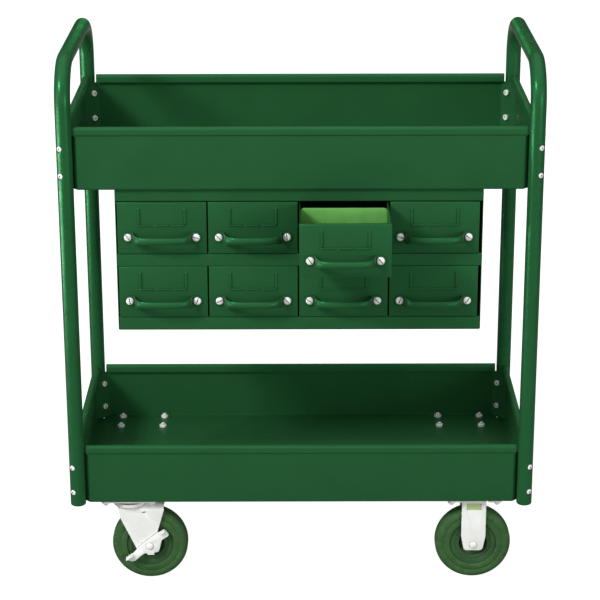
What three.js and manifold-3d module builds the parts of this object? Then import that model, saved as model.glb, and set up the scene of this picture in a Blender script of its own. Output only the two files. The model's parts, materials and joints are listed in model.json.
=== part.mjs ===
// Stock cart: two bent-tube end frames carry two hemmed trays, a cabinet of eight drawers hangs under
// the upper tray, and four casters stand under the lower one, rigid at the right, swivelling at the left.
// Millimetres, x along the cart, y from the front to the back, z up, with the floor at z = 0.
import * as THREE from "three";
import { mergeVertices } from "three/addons/utils/BufferGeometryUtils.js";
import Module from "manifold-3d";

const wasm = await Module();
wasm.setup();

// End frames
const legSpanX = 741; // between leg centres along the cart
const legSpanY = 384; // between leg centres from front to back
const tubeDiameter = 25.4;
const tubeWall = 1.65;
const frameTop = 900.8; // top of the handle bars
const frameBend = 63.5; // centre-line radius of the handle bends
const legDrop = 0.2; // leg ends below the underside of the lower tray
const plugFlange = 1.3; // thickness of the foot of an end plug
const plugStem = 14; // length of an end plug inside its tube
const plugBevel = 0.4;
const seat = 0.3; // gap between pieces that rest on each other

// Trays
const trayPastLegX = 7; // how far the hems reach past the leg centres, along the cart
const trayPastLegY = 2; // and from front to back
const trayHeight = 102; // from the underside to the top of the hem
const upperTrayFloor = 689.5; // underside of the upper tray
const casterHeight = 150.3; // underside of the lower tray
const traySheet = 1.5;
const trayFloorBend = 3.2; // outside radius at the foot of the walls
const trayCornerBend = 5; // outside radius between a wall and a corner strip
const hemWidth = 11;
const hemSheet = 1.3;
const hemLip = 14; // depth of the inner leg of the hem
const hemJoggle = 1.8; // how far the walls stand in from the hem
const joggleStart = 12; // below the top of the hem
const joggleEnd = 14.2;
const hemOverlap = 1.8; // of the hem strip on the wall
const hemLegGap = 2.8; // between the end of a hem and a leg
const reliefLength = 6.5; // slot at the foot of each corner strip
const reliefWidth = 3.2;
const reliefInset = 4.6; // from the corner strip to the middle of the slot

// Cabinet
const cabinetMiddle = -2.4; // of the cabinet, along the cart
const cabinetDepth = 296;
const cabinetSetback = 9; // of the cabinet's face behind the tray's hem
const cabinetSheet = 1.2;
const cabinetBend = 1.8;
const railHeight = 20.6; // of the top and middle rails
const bottomRail = 22; // height of the bottom rail
const railReturn = 9; // lip turned in along the lower edge of the top rail
const partitionSheet = 1.2;
const partitionInset = 12; // of the front edge of a partition behind the face
const drawerColumns = 4;
const drawerPitch = 144.65;
const rowMarginLeft = 1.65; // of the drawer row from the left side of the cabinet
const rowMarginRight = 4.45;

// Drawers
const drawerOpening = 86.4; // height of a bay between two rails
const frontGap = 1.25; // between a drawer front and half the pitch line
const frontRailGap = 0.6; // above and below a drawer front
const frontSheet = 1.2;
const frontProud = 1.2; // of the drawer fronts before the cabinet's face
const frontEdge = 0.4; // eased edge of a drawer front
const frontReturn = 7; // depth of the lip folded back along the top of a front
const boxSheet = 1;
const boxBend = 2;
const boxSideGap = 0.8; // the box walls stand in from the edge of the front
const boxDrop = 2.5; // box walls stop this far under the top of the front
const boxLength = 283;
const dividerSheet = 0.8;
const dividerCorner = 6;
const dividerPlace = 104; // behind the drawer front
const dividerDrop = 1.5; // under the top of the box walls
const drawerPulledOut = 123.8; // how far the third drawer of the top row stands open

// Label holder on each drawer front
const labelTabSpan = 73.5; // between the two upright tabs
const labelTabWidth = 4;
const labelTabHeight = 28;
const labelTabTop = 9; // under the top of the drawer front
const labelLugLength = 23;
const labelLugPitch = 27;
const labelLugHeight = 3;
const labelLugDrop = 1.4; // of the lugs under the upright tabs
const labelLugs = 3;
const labelProud = 1.5;
const labelTaper = 1.6;

// Pull on each drawer front
const pullScrewSpan = 108.5;
const pullHeight = 27.5; // of the pull's middle above the foot of the drawer front
const pullSheet = 1.6;
const pullReach = 28.5; // of the strap's outer face from the drawer front
const pullTabHeight = 17;
const pullStrapHeight = 11.5;
const pullTabEnd = 8.2; // past the screw
const pullTabInner = 7.4; // flat part inside the screw
const pullLegRun = 16; // of a leg along the cart
const pullBow = 1.6; // of the strap's middle
const pullKneeShort = 3.5; // easing of the bend beside a tab
const pullKneeLong = 7; // easing of the bend beside the strap

// Wheels
const wheelRadius = 63.5;
const tyreWidth = 31.75;
const tyreShoulder = 9.5;
const tyreFaceStep = 1; // of the tyre's face over the core
const tyreStepRun = 1.6;
const coreRadius = 38.5;
const coreRecess = 2.6; // of the core's web under the tyre's face
const coreRing = 22.5; // radius of the step round the hub
const coreHubRecess = 6;
const coreRingRun = 1.5;
const hubRadius = 13;
const hubEase = 1;
const hubOverTyre = 1.6; // how far the hub stands past the tyre's face
const hubSideGap = 0.4; // between the hub and a caster leg
const axleDiameter = 9.5;
const axleRunningGap = 0.35;
const axleHeadRadius = 6.4;
const axleHeadHeight = 3;
const axleHeadEase = 1.4;

// Casters
const casterPlateX = 92;
const casterPlateY = 66;
const casterPlateThick = 3;
const casterPlateCorner = 7;
const casterBoltX = 76.2;
const casterBoltY = 45;
const casterBoltHole = 8.6; // diameter
const casterLegThick = 3;
const casterInset = 37; // of the caster centres from the leg centres, from front to back
const rigidInset = 80.9; // of a rigid caster from the leg centres, along the cart
const swivelInset = 82.5; // of a swivel's pin from the leg centres, along the cart

// Rigid bracket
const rigidLegWidth = 40.7;
const rigidToeWidth = 31;
const rigidToeRise = 15.3; // of the start of the taper over the axle
const rigidToeDrop = 10.2; // of the toe under the axle
const rigidToeRadius = 5;
const rigidBend = 6; // outside radius between plate and legs
const rigidWindowWidth = 24;
const rigidWindowHeight = 12;
const rigidWindowTop = 10.7; // under the plate's top
const rigidWindowRadius = 1.5;

// Swivel caster
const swivelTrail = 32.85;
const raceRadius = 24.5;
const raceFlare = 3;
const raceDepth = 5;
const raceWebRadius = 12; // recess for the kingpin's head
const raceRecess = 5;
const crownRadius = 28.5;
const crownLip = 3;
const crownLipHeight = 7;
const crownThick = 3.2;
const crownBossRadius = 13;
const crownBossHeight = 8;
const kingpinDiameter = 12;
const kingpinHeadRadius = 11;
const kingpinHeadHeight = 4;
const kingpinFootRadius = 10;
const kingpinFootHeight = 3.2;
const kingpinEase = 1;
const forkBend = 11; // outside radius between the crown and the legs
const forkReach = 57.5; // of the crown's back edge behind the kingpin
const forkShoulder = 8;
const forkKneeRun = 14.8; // of the front edge ahead of the kingpin
const forkKneeDrop = 24;
const forkWingDrop = 9.5; // height of the crown's back edge
const forkWaistRise = 23.8; // of the narrow place over the axle
const forkWaist = 2.4;
const forkToeFront = 18.85; // reach of the toe ahead of the axle
const forkToeBack = 15.15;
const forkToeDrop = 13.2; // of the toe under the axle
const forkToeRadius = 5;
const forkSlotWidth = 6.5;
const forkSlotHeight = 3;
const forkSlotPlace = 24.4; // behind the kingpin
const forkSlotDrop = 9.2; // under the crown

// Brake lever
const leverThick = 2.6;
const leverReach = 40; // of the pedal from the axle, along the cart
const leverPedalAngle = 40; // degrees, slope of the pedal arm
const leverJoggle = 4.5; // how far the pedal stands out from the hub's plane
const leverJoggleStart = 15; // from the axle
const leverJoggleEnd = 27; // from the axle
const leverTreadAngle = 37.5; // degrees, slope of the toothed tread
const leverTreadDepth = 6.5; // of the tread before the pedal
const leverTeeth = 3;
const leverToothPitch = 4.7;
const leverToothHeight = 2.2;
const leverTabDepth = 6; // of the lip on the release end
// Corners of the lever's side view from the axle, as shares of its reach: [along the cart, up]
const leverHubShares = [
  [-0.25, -0.33], [-0.12, -0.33], [-0.098, -0.4], [0.192, -0.4], [0.178, -0.29],
  [0.36, -0.26], [0.41, -0.135], [0.508, 0.29],
];
const leverReleaseShares = [[0.775, 0.455], [0.815, 0.54], [0.63, 0.775], [0.305, 0.58]];
const leverPedalShares = [
  [-0.33, 0.078], [-0.72, -0.3], [-1, -0.5], [-0.995, -0.575], [-0.9, -0.605], [-0.755, -0.65],
  [-0.6, -0.605], [-0.465, -0.47],
];
const leverTreadShares = [-0.722, -0.3]; // place of the tread's upper end
const leverTabShares = [0.63, 0.775]; // place of the lip on the release end
const leverTabRun = 11;

// Drawing settings, counts only
const tubeSides = 16;
const boreSides = 12;
const bendSteps = 6;
const wheelSides = 28;
const roundSides = 16;
const boltSides = 8;
const arcSteps = 2;

// Colours, roughness and metalness
const paint = new THREE.MeshStandardMaterial({ color: 0x245c33, roughness: 0.42, metalness: 0 });
const tubePaint = new THREE.MeshStandardMaterial({ color: 0x277a42, roughness: 0.34, metalness: 0 });
const zinc = new THREE.MeshStandardMaterial({ color: 0xe9f2e2, roughness: 0.35, metalness: 0.9 });
const dividerZinc = new THREE.MeshStandardMaterial({ color: 0x74b862, roughness: 0.5, metalness: 0.3 });
const rubber = new THREE.MeshStandardMaterial({ color: 0x3c5f3a, roughness: 0.75, metalness: 0 });
const coreRubber = new THREE.MeshStandardMaterial({ color: 0x37543a, roughness: 0.7, metalness: 0 });
const plugPlastic = new THREE.MeshStandardMaterial({ color: 0x1f4f2c, roughness: 0.6, metalness: 0 });

// Axes and overrun
const X = new THREE.Vector3(1, 0, 0);
const Y = new THREE.Vector3(0, 1, 0);
const Z = new THREE.Vector3(0, 0, 1);
const overrun = 5; // how far cutters run past what they cut
const weld = 0.001; // points closer than this are one point

// Sizes that follow from the ones above
const trayLength = legSpanX + 2 * trayPastLegX; // over the hems
const trayWidth = legSpanY + 2 * trayPastLegY;
const tubeRadius = tubeDiameter / 2;
const legX = legSpanX / 2;
const legY = legSpanY / 2;
const wallX = trayLength / 2 - hemJoggle; // outer face of the end walls
const wallY = trayWidth / 2 - hemJoggle; // outer face of the front and back walls
const cornerSum = legX + legY - (tubeRadius + seat) * Math.SQRT2; // x + y on a corner strip
const hemEndX = legX - tubeRadius - hemLegGap;
const hemEndY = legY - tubeRadius - hemLegGap;
const cabinetFront = -(trayWidth / 2 - cabinetSetback);
const cabinetTop = upperTrayFloor - seat;
const cabinetHeight = 2 * railHeight + bottomRail + 2 * drawerOpening;
const bottomBay = cabinetTop - cabinetHeight + bottomRail; // foot of the lower bays
const cabinetWidth = drawerColumns * drawerPitch + rowMarginLeft + rowMarginRight;
const rowMiddle = (rowMarginLeft - rowMarginRight) / 2; // of the drawers, from the cabinet's middle
const frontWidth = drawerPitch - 2 * frontGap;
const frontHeight = drawerOpening - 2 * frontRailGap;
const tyreHalf = tyreWidth / 2;
const hubHalf = tyreHalf + hubOverTyre;
const legInner = hubHalf + hubSideGap; // inner face of a caster leg from the wheel's middle
const legOuter = legInner + casterLegThick;
const plateTop = casterHeight - seat;
const axleRadius = axleDiameter / 2;
const pullFront = pullReach + seat;
const reachFront = -cabinetFront + frontProud + drawerPulledOut + pullFront; // of the open drawer's pull
const reachBack = legY + tubeRadius;
const footprintShift = (reachFront - reachBack) / 2; // puts the origin under the middle of the whole part

// Solids from closed three.js geometries
function solid(geometry) {
  const flat = geometry.index ? geometry.toNonIndexed() : geometry;
  const bare = new THREE.BufferGeometry();
  bare.setAttribute("position", flat.getAttribute("position"));
  const merged = mergeVertices(bare, weld);
  const source = merged.index.array;
  const kept = [];
  for (let i = 0; i < source.length; i += 3) {
    const [a, b, c] = [source[i], source[i + 1], source[i + 2]];
    if (a !== b && b !== c && c !== a) kept.push(a, b, c);
  }
  const vertProperties = merged.attributes.position.array;
  return new wasm.Manifold(new wasm.Mesh({ numProp: 3, vertProperties, triVerts: new Uint32Array(kept) }));
}

function meshOf(name, shape, material) {
  const { numProp, numVert, vertProperties, triVerts } = shape.getMesh();
  const points = new Float32Array(numVert * 3);
  for (let i = 0; i < numVert; i++) points.set(vertProperties.subarray(i * numProp, i * numProp + 3), i * 3);
  const geometry = new THREE.BufferGeometry();
  geometry.setAttribute("position", new THREE.BufferAttribute(points, 3));
  geometry.setIndex(new THREE.BufferAttribute(triVerts, 1));
  geometry.computeVertexNormals();
  const mesh = new THREE.Mesh(geometry, material);
  mesh.name = name;
  return mesh;
}

function joined(...pieces) {
  return pieces.reduce((whole, piece) => whole.add(piece));
}

// Extrudes a shape by depth, centred, with the shape's x along across and its y along up.
function prism(shape, depth, across, up, curveSegments = arcSteps) {
  const geometry = new THREE.ExtrudeGeometry(shape, { depth, bevelEnabled: false, curveSegments });
  geometry.translate(0, 0, -depth / 2);
  const along = new THREE.Vector3().crossVectors(across, up);
  geometry.applyMatrix4(new THREE.Matrix4().makeBasis(across, up, along));
  return solid(geometry);
}

// A block between two corners.
function block(low, high) {
  const size = high.map((value, i) => value - low[i]);
  const geometry = new THREE.BoxGeometry(...size);
  geometry.translate(...low.map((value, i) => value + size[i] / 2));
  return solid(geometry);
}

// A solid turned from a closed profile of [radius, place along the axis] points, about y or about z.
function turned(profile, sides, about = Y, phase = 0) {
  const points = profile.map(([radius, place]) => new THREE.Vector2(radius, place));
  if (THREE.ShapeUtils.area(points) < 0) points.reverse();
  const geometry = new THREE.LatheGeometry(points, sides, phase);
  if (about === Z) geometry.rotateX(Math.PI / 2);
  return solid(geometry);
}

// A strip of even thickness along a line of [x, y] points, with mitred bends.
function strip(line, thickness) {
  const half = thickness / 2;
  const points = line.map(([x, y]) => new THREE.Vector2(x, y));
  const sides = [[], []];
  points.forEach((point, i) => {
    const before = point.clone().sub(points[Math.max(i - 1, 0)]).normalize();
    const after = points[Math.min(i + 1, points.length - 1)].clone().sub(point).normalize();
    const way = before.clone().add(after).normalize();
    const normal = new THREE.Vector2(-way.y, way.x);
    const straight = i === 0 ? after : before;
    const stretch = half / normal.dot(new THREE.Vector2(-straight.y, straight.x));
    sides[0].push(point.clone().addScaledVector(normal, stretch));
    sides[1].push(point.clone().addScaledVector(normal, -stretch));
  });
  return new THREE.Shape([...sides[0], ...sides[1].reverse()]);
}

// Points on an arc about [x, y], both ends included.
function arc(x, y, radius, start, end, steps) {
  return Array.from({ length: steps + 1 }, (_, i) => {
    const angle = start + ((end - start) * i) / steps;
    return [x + radius * Math.cos(angle), y + radius * Math.sin(angle)];
  });
}

function roundedRect(width, height, radius) {
  const [a, b] = [width / 2 - radius, height / 2 - radius];
  const shape = new THREE.Shape();
  shape.absarc(a, b, radius, 0, Math.PI / 2);
  shape.absarc(-a, b, radius, Math.PI / 2, Math.PI);
  shape.absarc(-a, -b, radius, Math.PI, Math.PI * 1.5);
  shape.absarc(a, -b, radius, Math.PI * 1.5, Math.PI * 2);
  return shape;
}

function polygon(points) {
  return new THREE.Shape(points.map(([x, y]) => new THREE.Vector2(x, y)));
}

// End frames
// The centre line of a frame: up the front leg, over the handle and down the back leg. Its steps lie
// close together in the bends and far apart on the straights.
class FramePath extends THREE.Curve {
  constructor(foot) {
    super();
    const bar = frameTop - tubeRadius;
    const turn = frameBend;
    const front = arc(-legY + turn, bar - turn, turn, Math.PI, Math.PI / 2, bendSteps);
    const back = arc(legY - turn, bar - turn, turn, Math.PI / 2, 0, bendSteps);
    const places = [[-legY, foot], ...front, ...back, [legY, foot]];
    this.stations = places.map(([y, z]) => new THREE.Vector3(0, y, z));
  }

  getPoint(t, target = new THREE.Vector3()) {
    const place = t * (this.stations.length - 1);
    const i = Math.min(Math.floor(place), this.stations.length - 2);
    return target.lerpVectors(this.stations[i], this.stations[i + 1], place - i);
  }

  getPointAt(u, target) {
    return this.getPoint(u, target);
  }

  // The tangent at a station halves the turn between its two chords, so that the tube keeps its width.
  getTangentAt(u, target = new THREE.Vector3()) {
    const last = this.stations.length - 1;
    const i = Math.round(u * last);
    const before = this.stations[Math.max(i - 1, 0)];
    const here = this.stations[i];
    const after = this.stations[Math.min(i + 1, last)];
    const into = here.clone().sub(before).normalize();
    const out = after.clone().sub(here).normalize();
    return target.addVectors(into, out).normalize();
  }
}

function frame() {
  const path = new FramePath(casterHeight - legDrop);
  const section = new THREE.Shape(ring(tubeRadius, tubeSides));
  section.holes.push(new THREE.Path(ring(tubeRadius - tubeWall, boreSides)));
  const steps = path.stations.length - 1;
  return solid(new THREE.ExtrudeGeometry(section, { steps, extrudePath: path }));
}

function ring(radius, sides) {
  return Array.from({ length: sides }, (_, i) => {
    const angle = (i / sides) * 2 * Math.PI;
    return new THREE.Vector2(radius * Math.cos(angle), radius * Math.sin(angle));
  });
}

function legPlug() {
  const stem = tubeRadius - tubeWall - seat - plugBevel;
  const flange = tubeRadius - plugBevel;
  const profile = [
    [0, -plugFlange],
    [flange - plugBevel, -plugFlange],
    [flange, -plugFlange + plugBevel],
    [flange, 0],
    [stem, 0],
    [stem, plugStem],
    [0, plugStem],
  ];
  return turned(profile, tubeSides, Z);
}

// Trays
// The outline of a tray at an inset from the outer faces: eight sides, with the corners cut off at 45
// degrees for the legs and every corner eased.
function trayOutline(inset, z) {
  const a = wallX - inset;
  const b = wallY - inset;
  const sum = cornerSum - inset * Math.SQRT2;
  const radius = trayCornerBend - inset;
  const setback = radius * Math.tan(Math.PI / 8);
  const centreX = sum - b - setback;
  const centreY = sum - a - setback;
  const quarter = [
    ...arc(a - radius, centreY, radius, 0, Math.PI / 4, arcSteps - 1),
    ...arc(centreX, b - radius, radius, Math.PI / 4, Math.PI / 2, arcSteps - 1),
  ];
  const mirrored = quarter.map(([x, y]) => [-x, y]).reverse();
  const half = [...quarter, ...mirrored];
  const whole = [...half, ...half.map(([x, y]) => [-x, -y])];
  return whole.map(([x, y]) => new THREE.Vector3(x, y, z));
}

// A closed skin through outlines of equal point count, flat at both ends.
function loft(outlines) {
  const count = outlines[0].length;
  const points = [];
  const add = (...corners) => corners.forEach((corner) => points.push(...corner.toArray()));
  outlines.slice(1).forEach((upper, k) => {
    const lower = outlines[k];
    for (let i = 0; i < count; i++) {
      const j = (i + 1) % count;
      add(lower[i], lower[j], upper[j]);
      add(lower[i], upper[j], upper[i]);
    }
  });
  const [first, last] = [outlines[0], outlines.at(-1)];
  for (let i = 1; i < count - 1; i++) {
    add(first[0], first[i + 1], first[i]);
    add(last[0], last[i], last[i + 1]);
  }
  const geometry = new THREE.BufferGeometry();
  geometry.setAttribute("position", new THREE.Float32BufferAttribute(points, 3));
  return solid(geometry);
}

function trayPan() {
  const wallTop = trayHeight - joggleEnd;
  const innerBend = trayFloorBend - traySheet;
  const ease = 1 - Math.SQRT1_2;
  return loft([
    trayOutline(trayFloorBend, 0),
    trayOutline(trayFloorBend * ease, trayFloorBend * ease),
    trayOutline(0, trayFloorBend),
    trayOutline(0, wallTop),
    trayOutline(traySheet, wallTop),
    trayOutline(traySheet, trayFloorBend),
    trayOutline(traySheet + innerBend * ease, traySheet + innerBend * ease),
    trayOutline(trayFloorBend, traySheet),
  ]);
}

// The hem's section, drawn inwards from its outer face and down from its top: the wall's edge joggles
// out, rolls over and comes down inside as a free lip.
function hemSection() {
  const half = hemSheet / 2;
  const roll = hemWidth / 2;
  const wallMiddle = hemJoggle + traySheet / 2;
  const line = [
    [wallMiddle, -joggleEnd - hemOverlap],
    [wallMiddle, -joggleEnd],
    [half, -joggleStart],
    ...arc(roll, -roll, roll - half, Math.PI, 0, 2 * arcSteps),
    [hemWidth - half, -hemLip],
  ];
  return strip(line, hemSheet);
}

function hem(length, reach, inward) {
  return prism(hemSection(), length, inward, Z).translate(inward.clone().multiplyScalar(-reach).toArray());
}

function reliefSlot(signX, signY) {
  const slot = prism(roundedRect(reliefLength, reliefWidth, reliefWidth / 2), traySheet + 2 * overrun, X, Y);
  const halfway = (wallX - (cornerSum - wallY)) / 2; // the slot lies halfway along the corner strip
  const x = wallX - halfway - reliefInset * Math.SQRT1_2;
  const y = cornerSum - wallX + halfway - reliefInset * Math.SQRT1_2;
  return slot.rotate([0, 0, -45 * signX * signY]).translate([signX * x, signY * y, 0]);
}

function tray() {
  const hems = [
    hem(2 * hemEndX, trayWidth / 2, Y),
    hem(2 * hemEndX, trayWidth / 2, Y.clone().negate()),
    hem(2 * hemEndY, trayLength / 2, X),
    hem(2 * hemEndY, trayLength / 2, X.clone().negate()),
  ].map((piece) => piece.translate([0, 0, trayHeight]));
  const slots = [-1, 1].flatMap((signX) => [-1, 1].map((signY) => reliefSlot(signX, signY)));
  return joined(trayPan(), ...hems).subtract(joined(...slots));
}

// Cabinet
function cabinetShell() {
  const outer = roundedRect(cabinetWidth, cabinetHeight, cabinetBend);
  const [width, height] = [cabinetWidth - 2 * cabinetSheet, cabinetHeight - 2 * cabinetSheet];
  outer.holes.push(roundedRect(width, height, cabinetBend - cabinetSheet));
  const wrap = prism(outer, cabinetDepth, X, Z);
  const half = cabinetDepth / 2;
  const back = prism(roundedRect(cabinetWidth, cabinetHeight, cabinetBend), cabinetSheet, X, Z);
  const sheetMiddle = cabinetSheet / 2;
  const rail = strip(
    [
      [sheetMiddle, -sheetMiddle],
      [sheetMiddle, -railHeight + sheetMiddle],
      [railReturn, -railHeight + sheetMiddle],
    ],
    cabinetSheet,
  );
  const railBar = prism(rail, width + cabinetSheet, Y, Z);
  return joined(
    wrap,
    back.translate([0, half - sheetMiddle, 0]),
    railBar.translate([0, -half, cabinetHeight / 2]),
  );
}

// A shelf is a channel: its front flange is the rail under the bay, its back flange stiffens it.
function shelf(slotted) {
  const sheetMiddle = cabinetSheet / 2;
  const depth = cabinetDepth - cabinetSheet - seat;
  const drop = slotted ? railHeight : bottomRail - cabinetSheet - seat;
  const line = [
    [sheetMiddle, -drop],
    [sheetMiddle, -sheetMiddle],
    [depth - sheetMiddle, -sheetMiddle],
    [depth - sheetMiddle, -drop],
  ];
  const width = cabinetWidth - 2 * (cabinetSheet + seat);
  const channel = prism(strip(line, cabinetSheet), width, Y, Z);
  if (!slotted) return channel;
  const slotHalf = partitionSheet / 2 + seat;
  const slotEnd = depth - cabinetSheet;
  const slots = partitionPlaces().map((x) =>
    block([x - slotHalf, partitionInset - seat, -overrun], [x + slotHalf, slotEnd, overrun]),
  );
  return channel.subtract(joined(...slots));
}

// Places along the cart of the partitions, from the cabinet's middle
function partitionPlaces() {
  return Array.from(
    { length: drawerColumns - 1 },
    (_, i) => rowMiddle + (i + 1 - drawerColumns / 2) * drawerPitch,
  );
}

function partition() {
  const height = cabinetHeight - bottomRail - cabinetSheet - 2 * seat;
  const depth = cabinetDepth - 2 * (cabinetSheet + seat) - partitionInset;
  const plate = prism(roundedRect(depth, height, cabinetBend), partitionSheet, Y, Z);
  return plate.translate([0, partitionInset + depth / 2, height / 2 + seat]);
}

// Drawers, drawn with the middle of the foot of the front's face at the origin
function drawer() {
  const boxWidth = frontWidth - 2 * boxSideGap;
  const wallTop = frontHeight - boxDrop;
  const sheetMiddle = boxSheet / 2;
  const side = boxWidth / 2 - sheetMiddle;
  const turn = boxBend - sheetMiddle;
  const line = [
    [-side, wallTop],
    ...arc(-side + turn, sheetMiddle + turn, turn, Math.PI, Math.PI * 1.5, arcSteps - 1),
    ...arc(side - turn, sheetMiddle + turn, turn, -Math.PI / 2, 0, arcSteps - 1),
    [side, wallTop],
  ];
  const trough = prism(strip(line, boxSheet), boxLength, X, Z).translate([0, frontSheet + boxLength / 2, 0]);
  const end = polygon([
    [-boxWidth / 2 + boxBend, 0],
    [boxWidth / 2 - boxBend, 0],
    [boxWidth / 2, boxBend],
    [boxWidth / 2, wallTop],
    [-boxWidth / 2, wallTop],
    [-boxWidth / 2, boxBend],
  ]);
  const back = prism(end, boxSheet, X, Z).translate([0, frontSheet + boxLength - sheetMiddle, 0]);
  return joined(trough, back, drawerFront(), ...labelHolder());
}

function drawerFront() {
  const face = roundedRect(frontWidth - 2 * frontEdge, frontHeight - 2 * frontEdge, frontEdge);
  const geometry = new THREE.ExtrudeGeometry(face, {
    depth: frontSheet - frontEdge,
    bevelSize: frontEdge,
    bevelThickness: frontEdge,
    bevelSegments: 1,
    curveSegments: 1,
  });
  geometry.rotateX(Math.PI / 2);
  const panel = solid(geometry).translate([0, frontSheet, frontHeight / 2]);
  const backed = panel.trimByPlane([0, -1, 0], -frontSheet);
  const lip = block(
    [-frontWidth / 2 + frontEdge, frontSheet / 2, frontHeight - frontSheet],
    [frontWidth / 2 - frontEdge, frontReturn, frontHeight - frontEdge],
  );
  return joined(backed, lip);
}

// Lanced tabs: two upright ones hold the sides of a card, a row of lugs holds its foot.
function labelHolder() {
  const tab = (length, width) => {
    const section = polygon([
      [-length / 2, 0],
      [-length / 2 + labelTaper, labelProud],
      [length / 2 - labelTaper, labelProud],
      [length / 2, 0],
      [length / 2, -frontSheet / 2],
      [-length / 2, -frontSheet / 2],
    ]);
    return prism(section, width, X, Y.clone().negate());
  };
  const tabMiddle = frontHeight - labelTabTop - labelTabHeight / 2;
  const upright = [-1, 1].map((sign) => {
    const turnedTab = tab(labelTabHeight, labelTabWidth).rotate([0, 90, 0]);
    return turnedTab.translate([(sign * labelTabSpan) / 2, 0, tabMiddle]);
  });
  const lugPlace = frontHeight - labelTabTop - labelTabHeight - labelLugDrop;
  const lugs = Array.from({ length: labelLugs }, (_, i) => {
    const x = (i - (labelLugs - 1) / 2) * labelLugPitch;
    return tab(labelLugLength, labelLugHeight).translate([x, 0, lugPlace]);
  });
  return [...upright, ...lugs];
}

// A strap bent in plan, cut to an outline that widens to a round tab at each screw
function pull() {
  const screw = pullScrewSpan / 2;
  const tabEnd = screw + pullTabEnd;
  const tabStart = screw - pullTabInner;
  const strapEnd = tabStart - pullLegRun;
  const flat = -pullSheet / 2;
  const reach = -pullReach + pullSheet / 2;
  const slope = Math.hypot(pullLegRun, reach - flat);
  const [runShare, riseShare] = [pullLegRun / slope, (reach - flat) / slope];
  const half = [
    [-tabEnd, flat],
    [-tabStart - pullKneeShort, flat],
    [-tabStart + pullKneeShort * runShare, flat + pullKneeShort * riseShare],
    [-strapEnd - pullKneeLong * runShare, reach + pullBow - pullKneeLong * riseShare],
    [-strapEnd + (pullKneeLong * runShare) / 2, reach + pullBow],
    [-strapEnd + pullKneeLong, reach + pullBow / 2],
  ];
  const line = [...half, [0, reach], ...half.map(([x, y]) => [-x, y]).reverse()];
  const bent = prism(strip(line, pullSheet), pullTabHeight, X, Y);
  const tabHalf = pullTabHeight / 2;
  const strapHalf = pullStrapHeight / 2;
  const tabRound = (sign) => {
    const start = (-sign * Math.PI) / 2;
    return arc(sign * (tabEnd - tabHalf), 0, tabHalf, start, start + Math.PI, 2 * arcSteps);
  };
  const outline = [
    ...tabRound(1),
    [tabStart, tabHalf],
    [strapEnd, strapHalf],
    [-strapEnd, strapHalf],
    [-tabStart, tabHalf],
    ...tabRound(-1),
    [-tabStart, -tabHalf],
    [-strapEnd, -strapHalf],
    [strapEnd, -strapHalf],
    [tabStart, -tabHalf],
  ];
  const outlineCut = prism(polygon(outline), 2 * (pullReach + overrun), X, Z);
  return bent.intersect(outlineCut);
}

function divider() {
  const width = frontWidth - 2 * (boxSideGap + boxSheet + seat);
  const height = frontHeight - boxDrop - dividerDrop - boxSheet - seat;
  const [a, b] = [width / 2, boxBend];
  const line = [
    [-a + b, 0],
    [a - b, 0],
    [a, b],
    ...arc(a - dividerCorner, height - dividerCorner, dividerCorner, 0, Math.PI / 2, arcSteps),
    ...arc(-a + dividerCorner, height - dividerCorner, dividerCorner, Math.PI / 2, Math.PI, arcSteps),
    [-a, b],
  ];
  return prism(polygon(line), dividerSheet, X, Z).translate([0, 0, boxSheet + seat]);
}

// Wheels, turned about y with a flat of the tread downwards; flats lie on the true radius
const flatToCorner = 1 / Math.cos(Math.PI / wheelSides);
const wheelPhase = Math.PI / wheelSides;

function mirroredProfile(half) {
  return [...half, ...half.map(([radius, y]) => [radius, -y]).reverse()];
}

function wheelSolid(half) {
  const profile = mirroredProfile(half).map(([radius, y]) => [radius * flatToCorner, y]);
  return turned([...profile, profile[0]], wheelSides, Y, wheelPhase);
}

function tyre() {
  const inner = coreRadius + seat;
  const [shoulderX, shoulderY] = [wheelRadius - tyreShoulder, tyreHalf - tyreShoulder];
  const shoulder = arc(shoulderX, shoulderY, tyreShoulder, 0, Math.PI / 2, arcSteps);
  return wheelSolid([
    ...shoulder,
    [inner + tyreStepRun, tyreHalf],
    [inner, tyreHalf - tyreFaceStep],
  ]);
}

function core() {
  const web = tyreHalf - coreRecess;
  const bore = axleRadius + axleRunningGap;
  return wheelSolid([
    [coreRadius, web],
    [coreRing + coreRingRun, web],
    [coreRing, web - coreHubRecess],
    [hubRadius, web - coreHubRecess],
    [hubRadius, hubHalf - hubEase],
    [hubRadius - hubEase, hubHalf],
    [bore, hubHalf],
  ]);
}

// An axle with a domed head at each end; the front head clears what lies between it and the leg.
function axle(frontFace) {
  const head = (face, sign) => [
    [axleRadius, sign * face],
    [axleHeadRadius, sign * face],
    [axleHeadRadius, sign * (face + axleHeadHeight - axleHeadEase)],
    [axleHeadRadius - axleHeadEase, sign * (face + axleHeadHeight)],
    [0, sign * (face + axleHeadHeight)],
  ];
  const back = head(legOuter + seat, 1);
  const front = head(frontFace, -1).reverse();
  return turned([...front, ...back], roundSides, Y);
}

// Casters
// A plain round bar from one end to the other, about y or about z
function bar(radius, start, end, sides, about = Y) {
  return turned([[0, start], [radius, start], [radius, end], [0, end]], sides, about);
}

function casterPlate() {
  const plate = prism(roundedRect(casterPlateX, casterPlateY, casterPlateCorner), casterPlateThick, X, Y);
  const hole = bar(casterBoltHole / 2, -overrun, overrun, boltSides, Z);
  const holes = [-1, 1].flatMap((a) =>
    [-1, 1].map((b) => hole.translate([(a * casterBoltX) / 2, (b * casterBoltY) / 2, 0])),
  );
  return plate.subtract(joined(...holes)).translate([0, 0, plateTop - casterPlateThick / 2]);
}

function axleHole() {
  return bar(axleRadius + seat, -legOuter - overrun, legOuter + overrun, roundSides);
}

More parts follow.
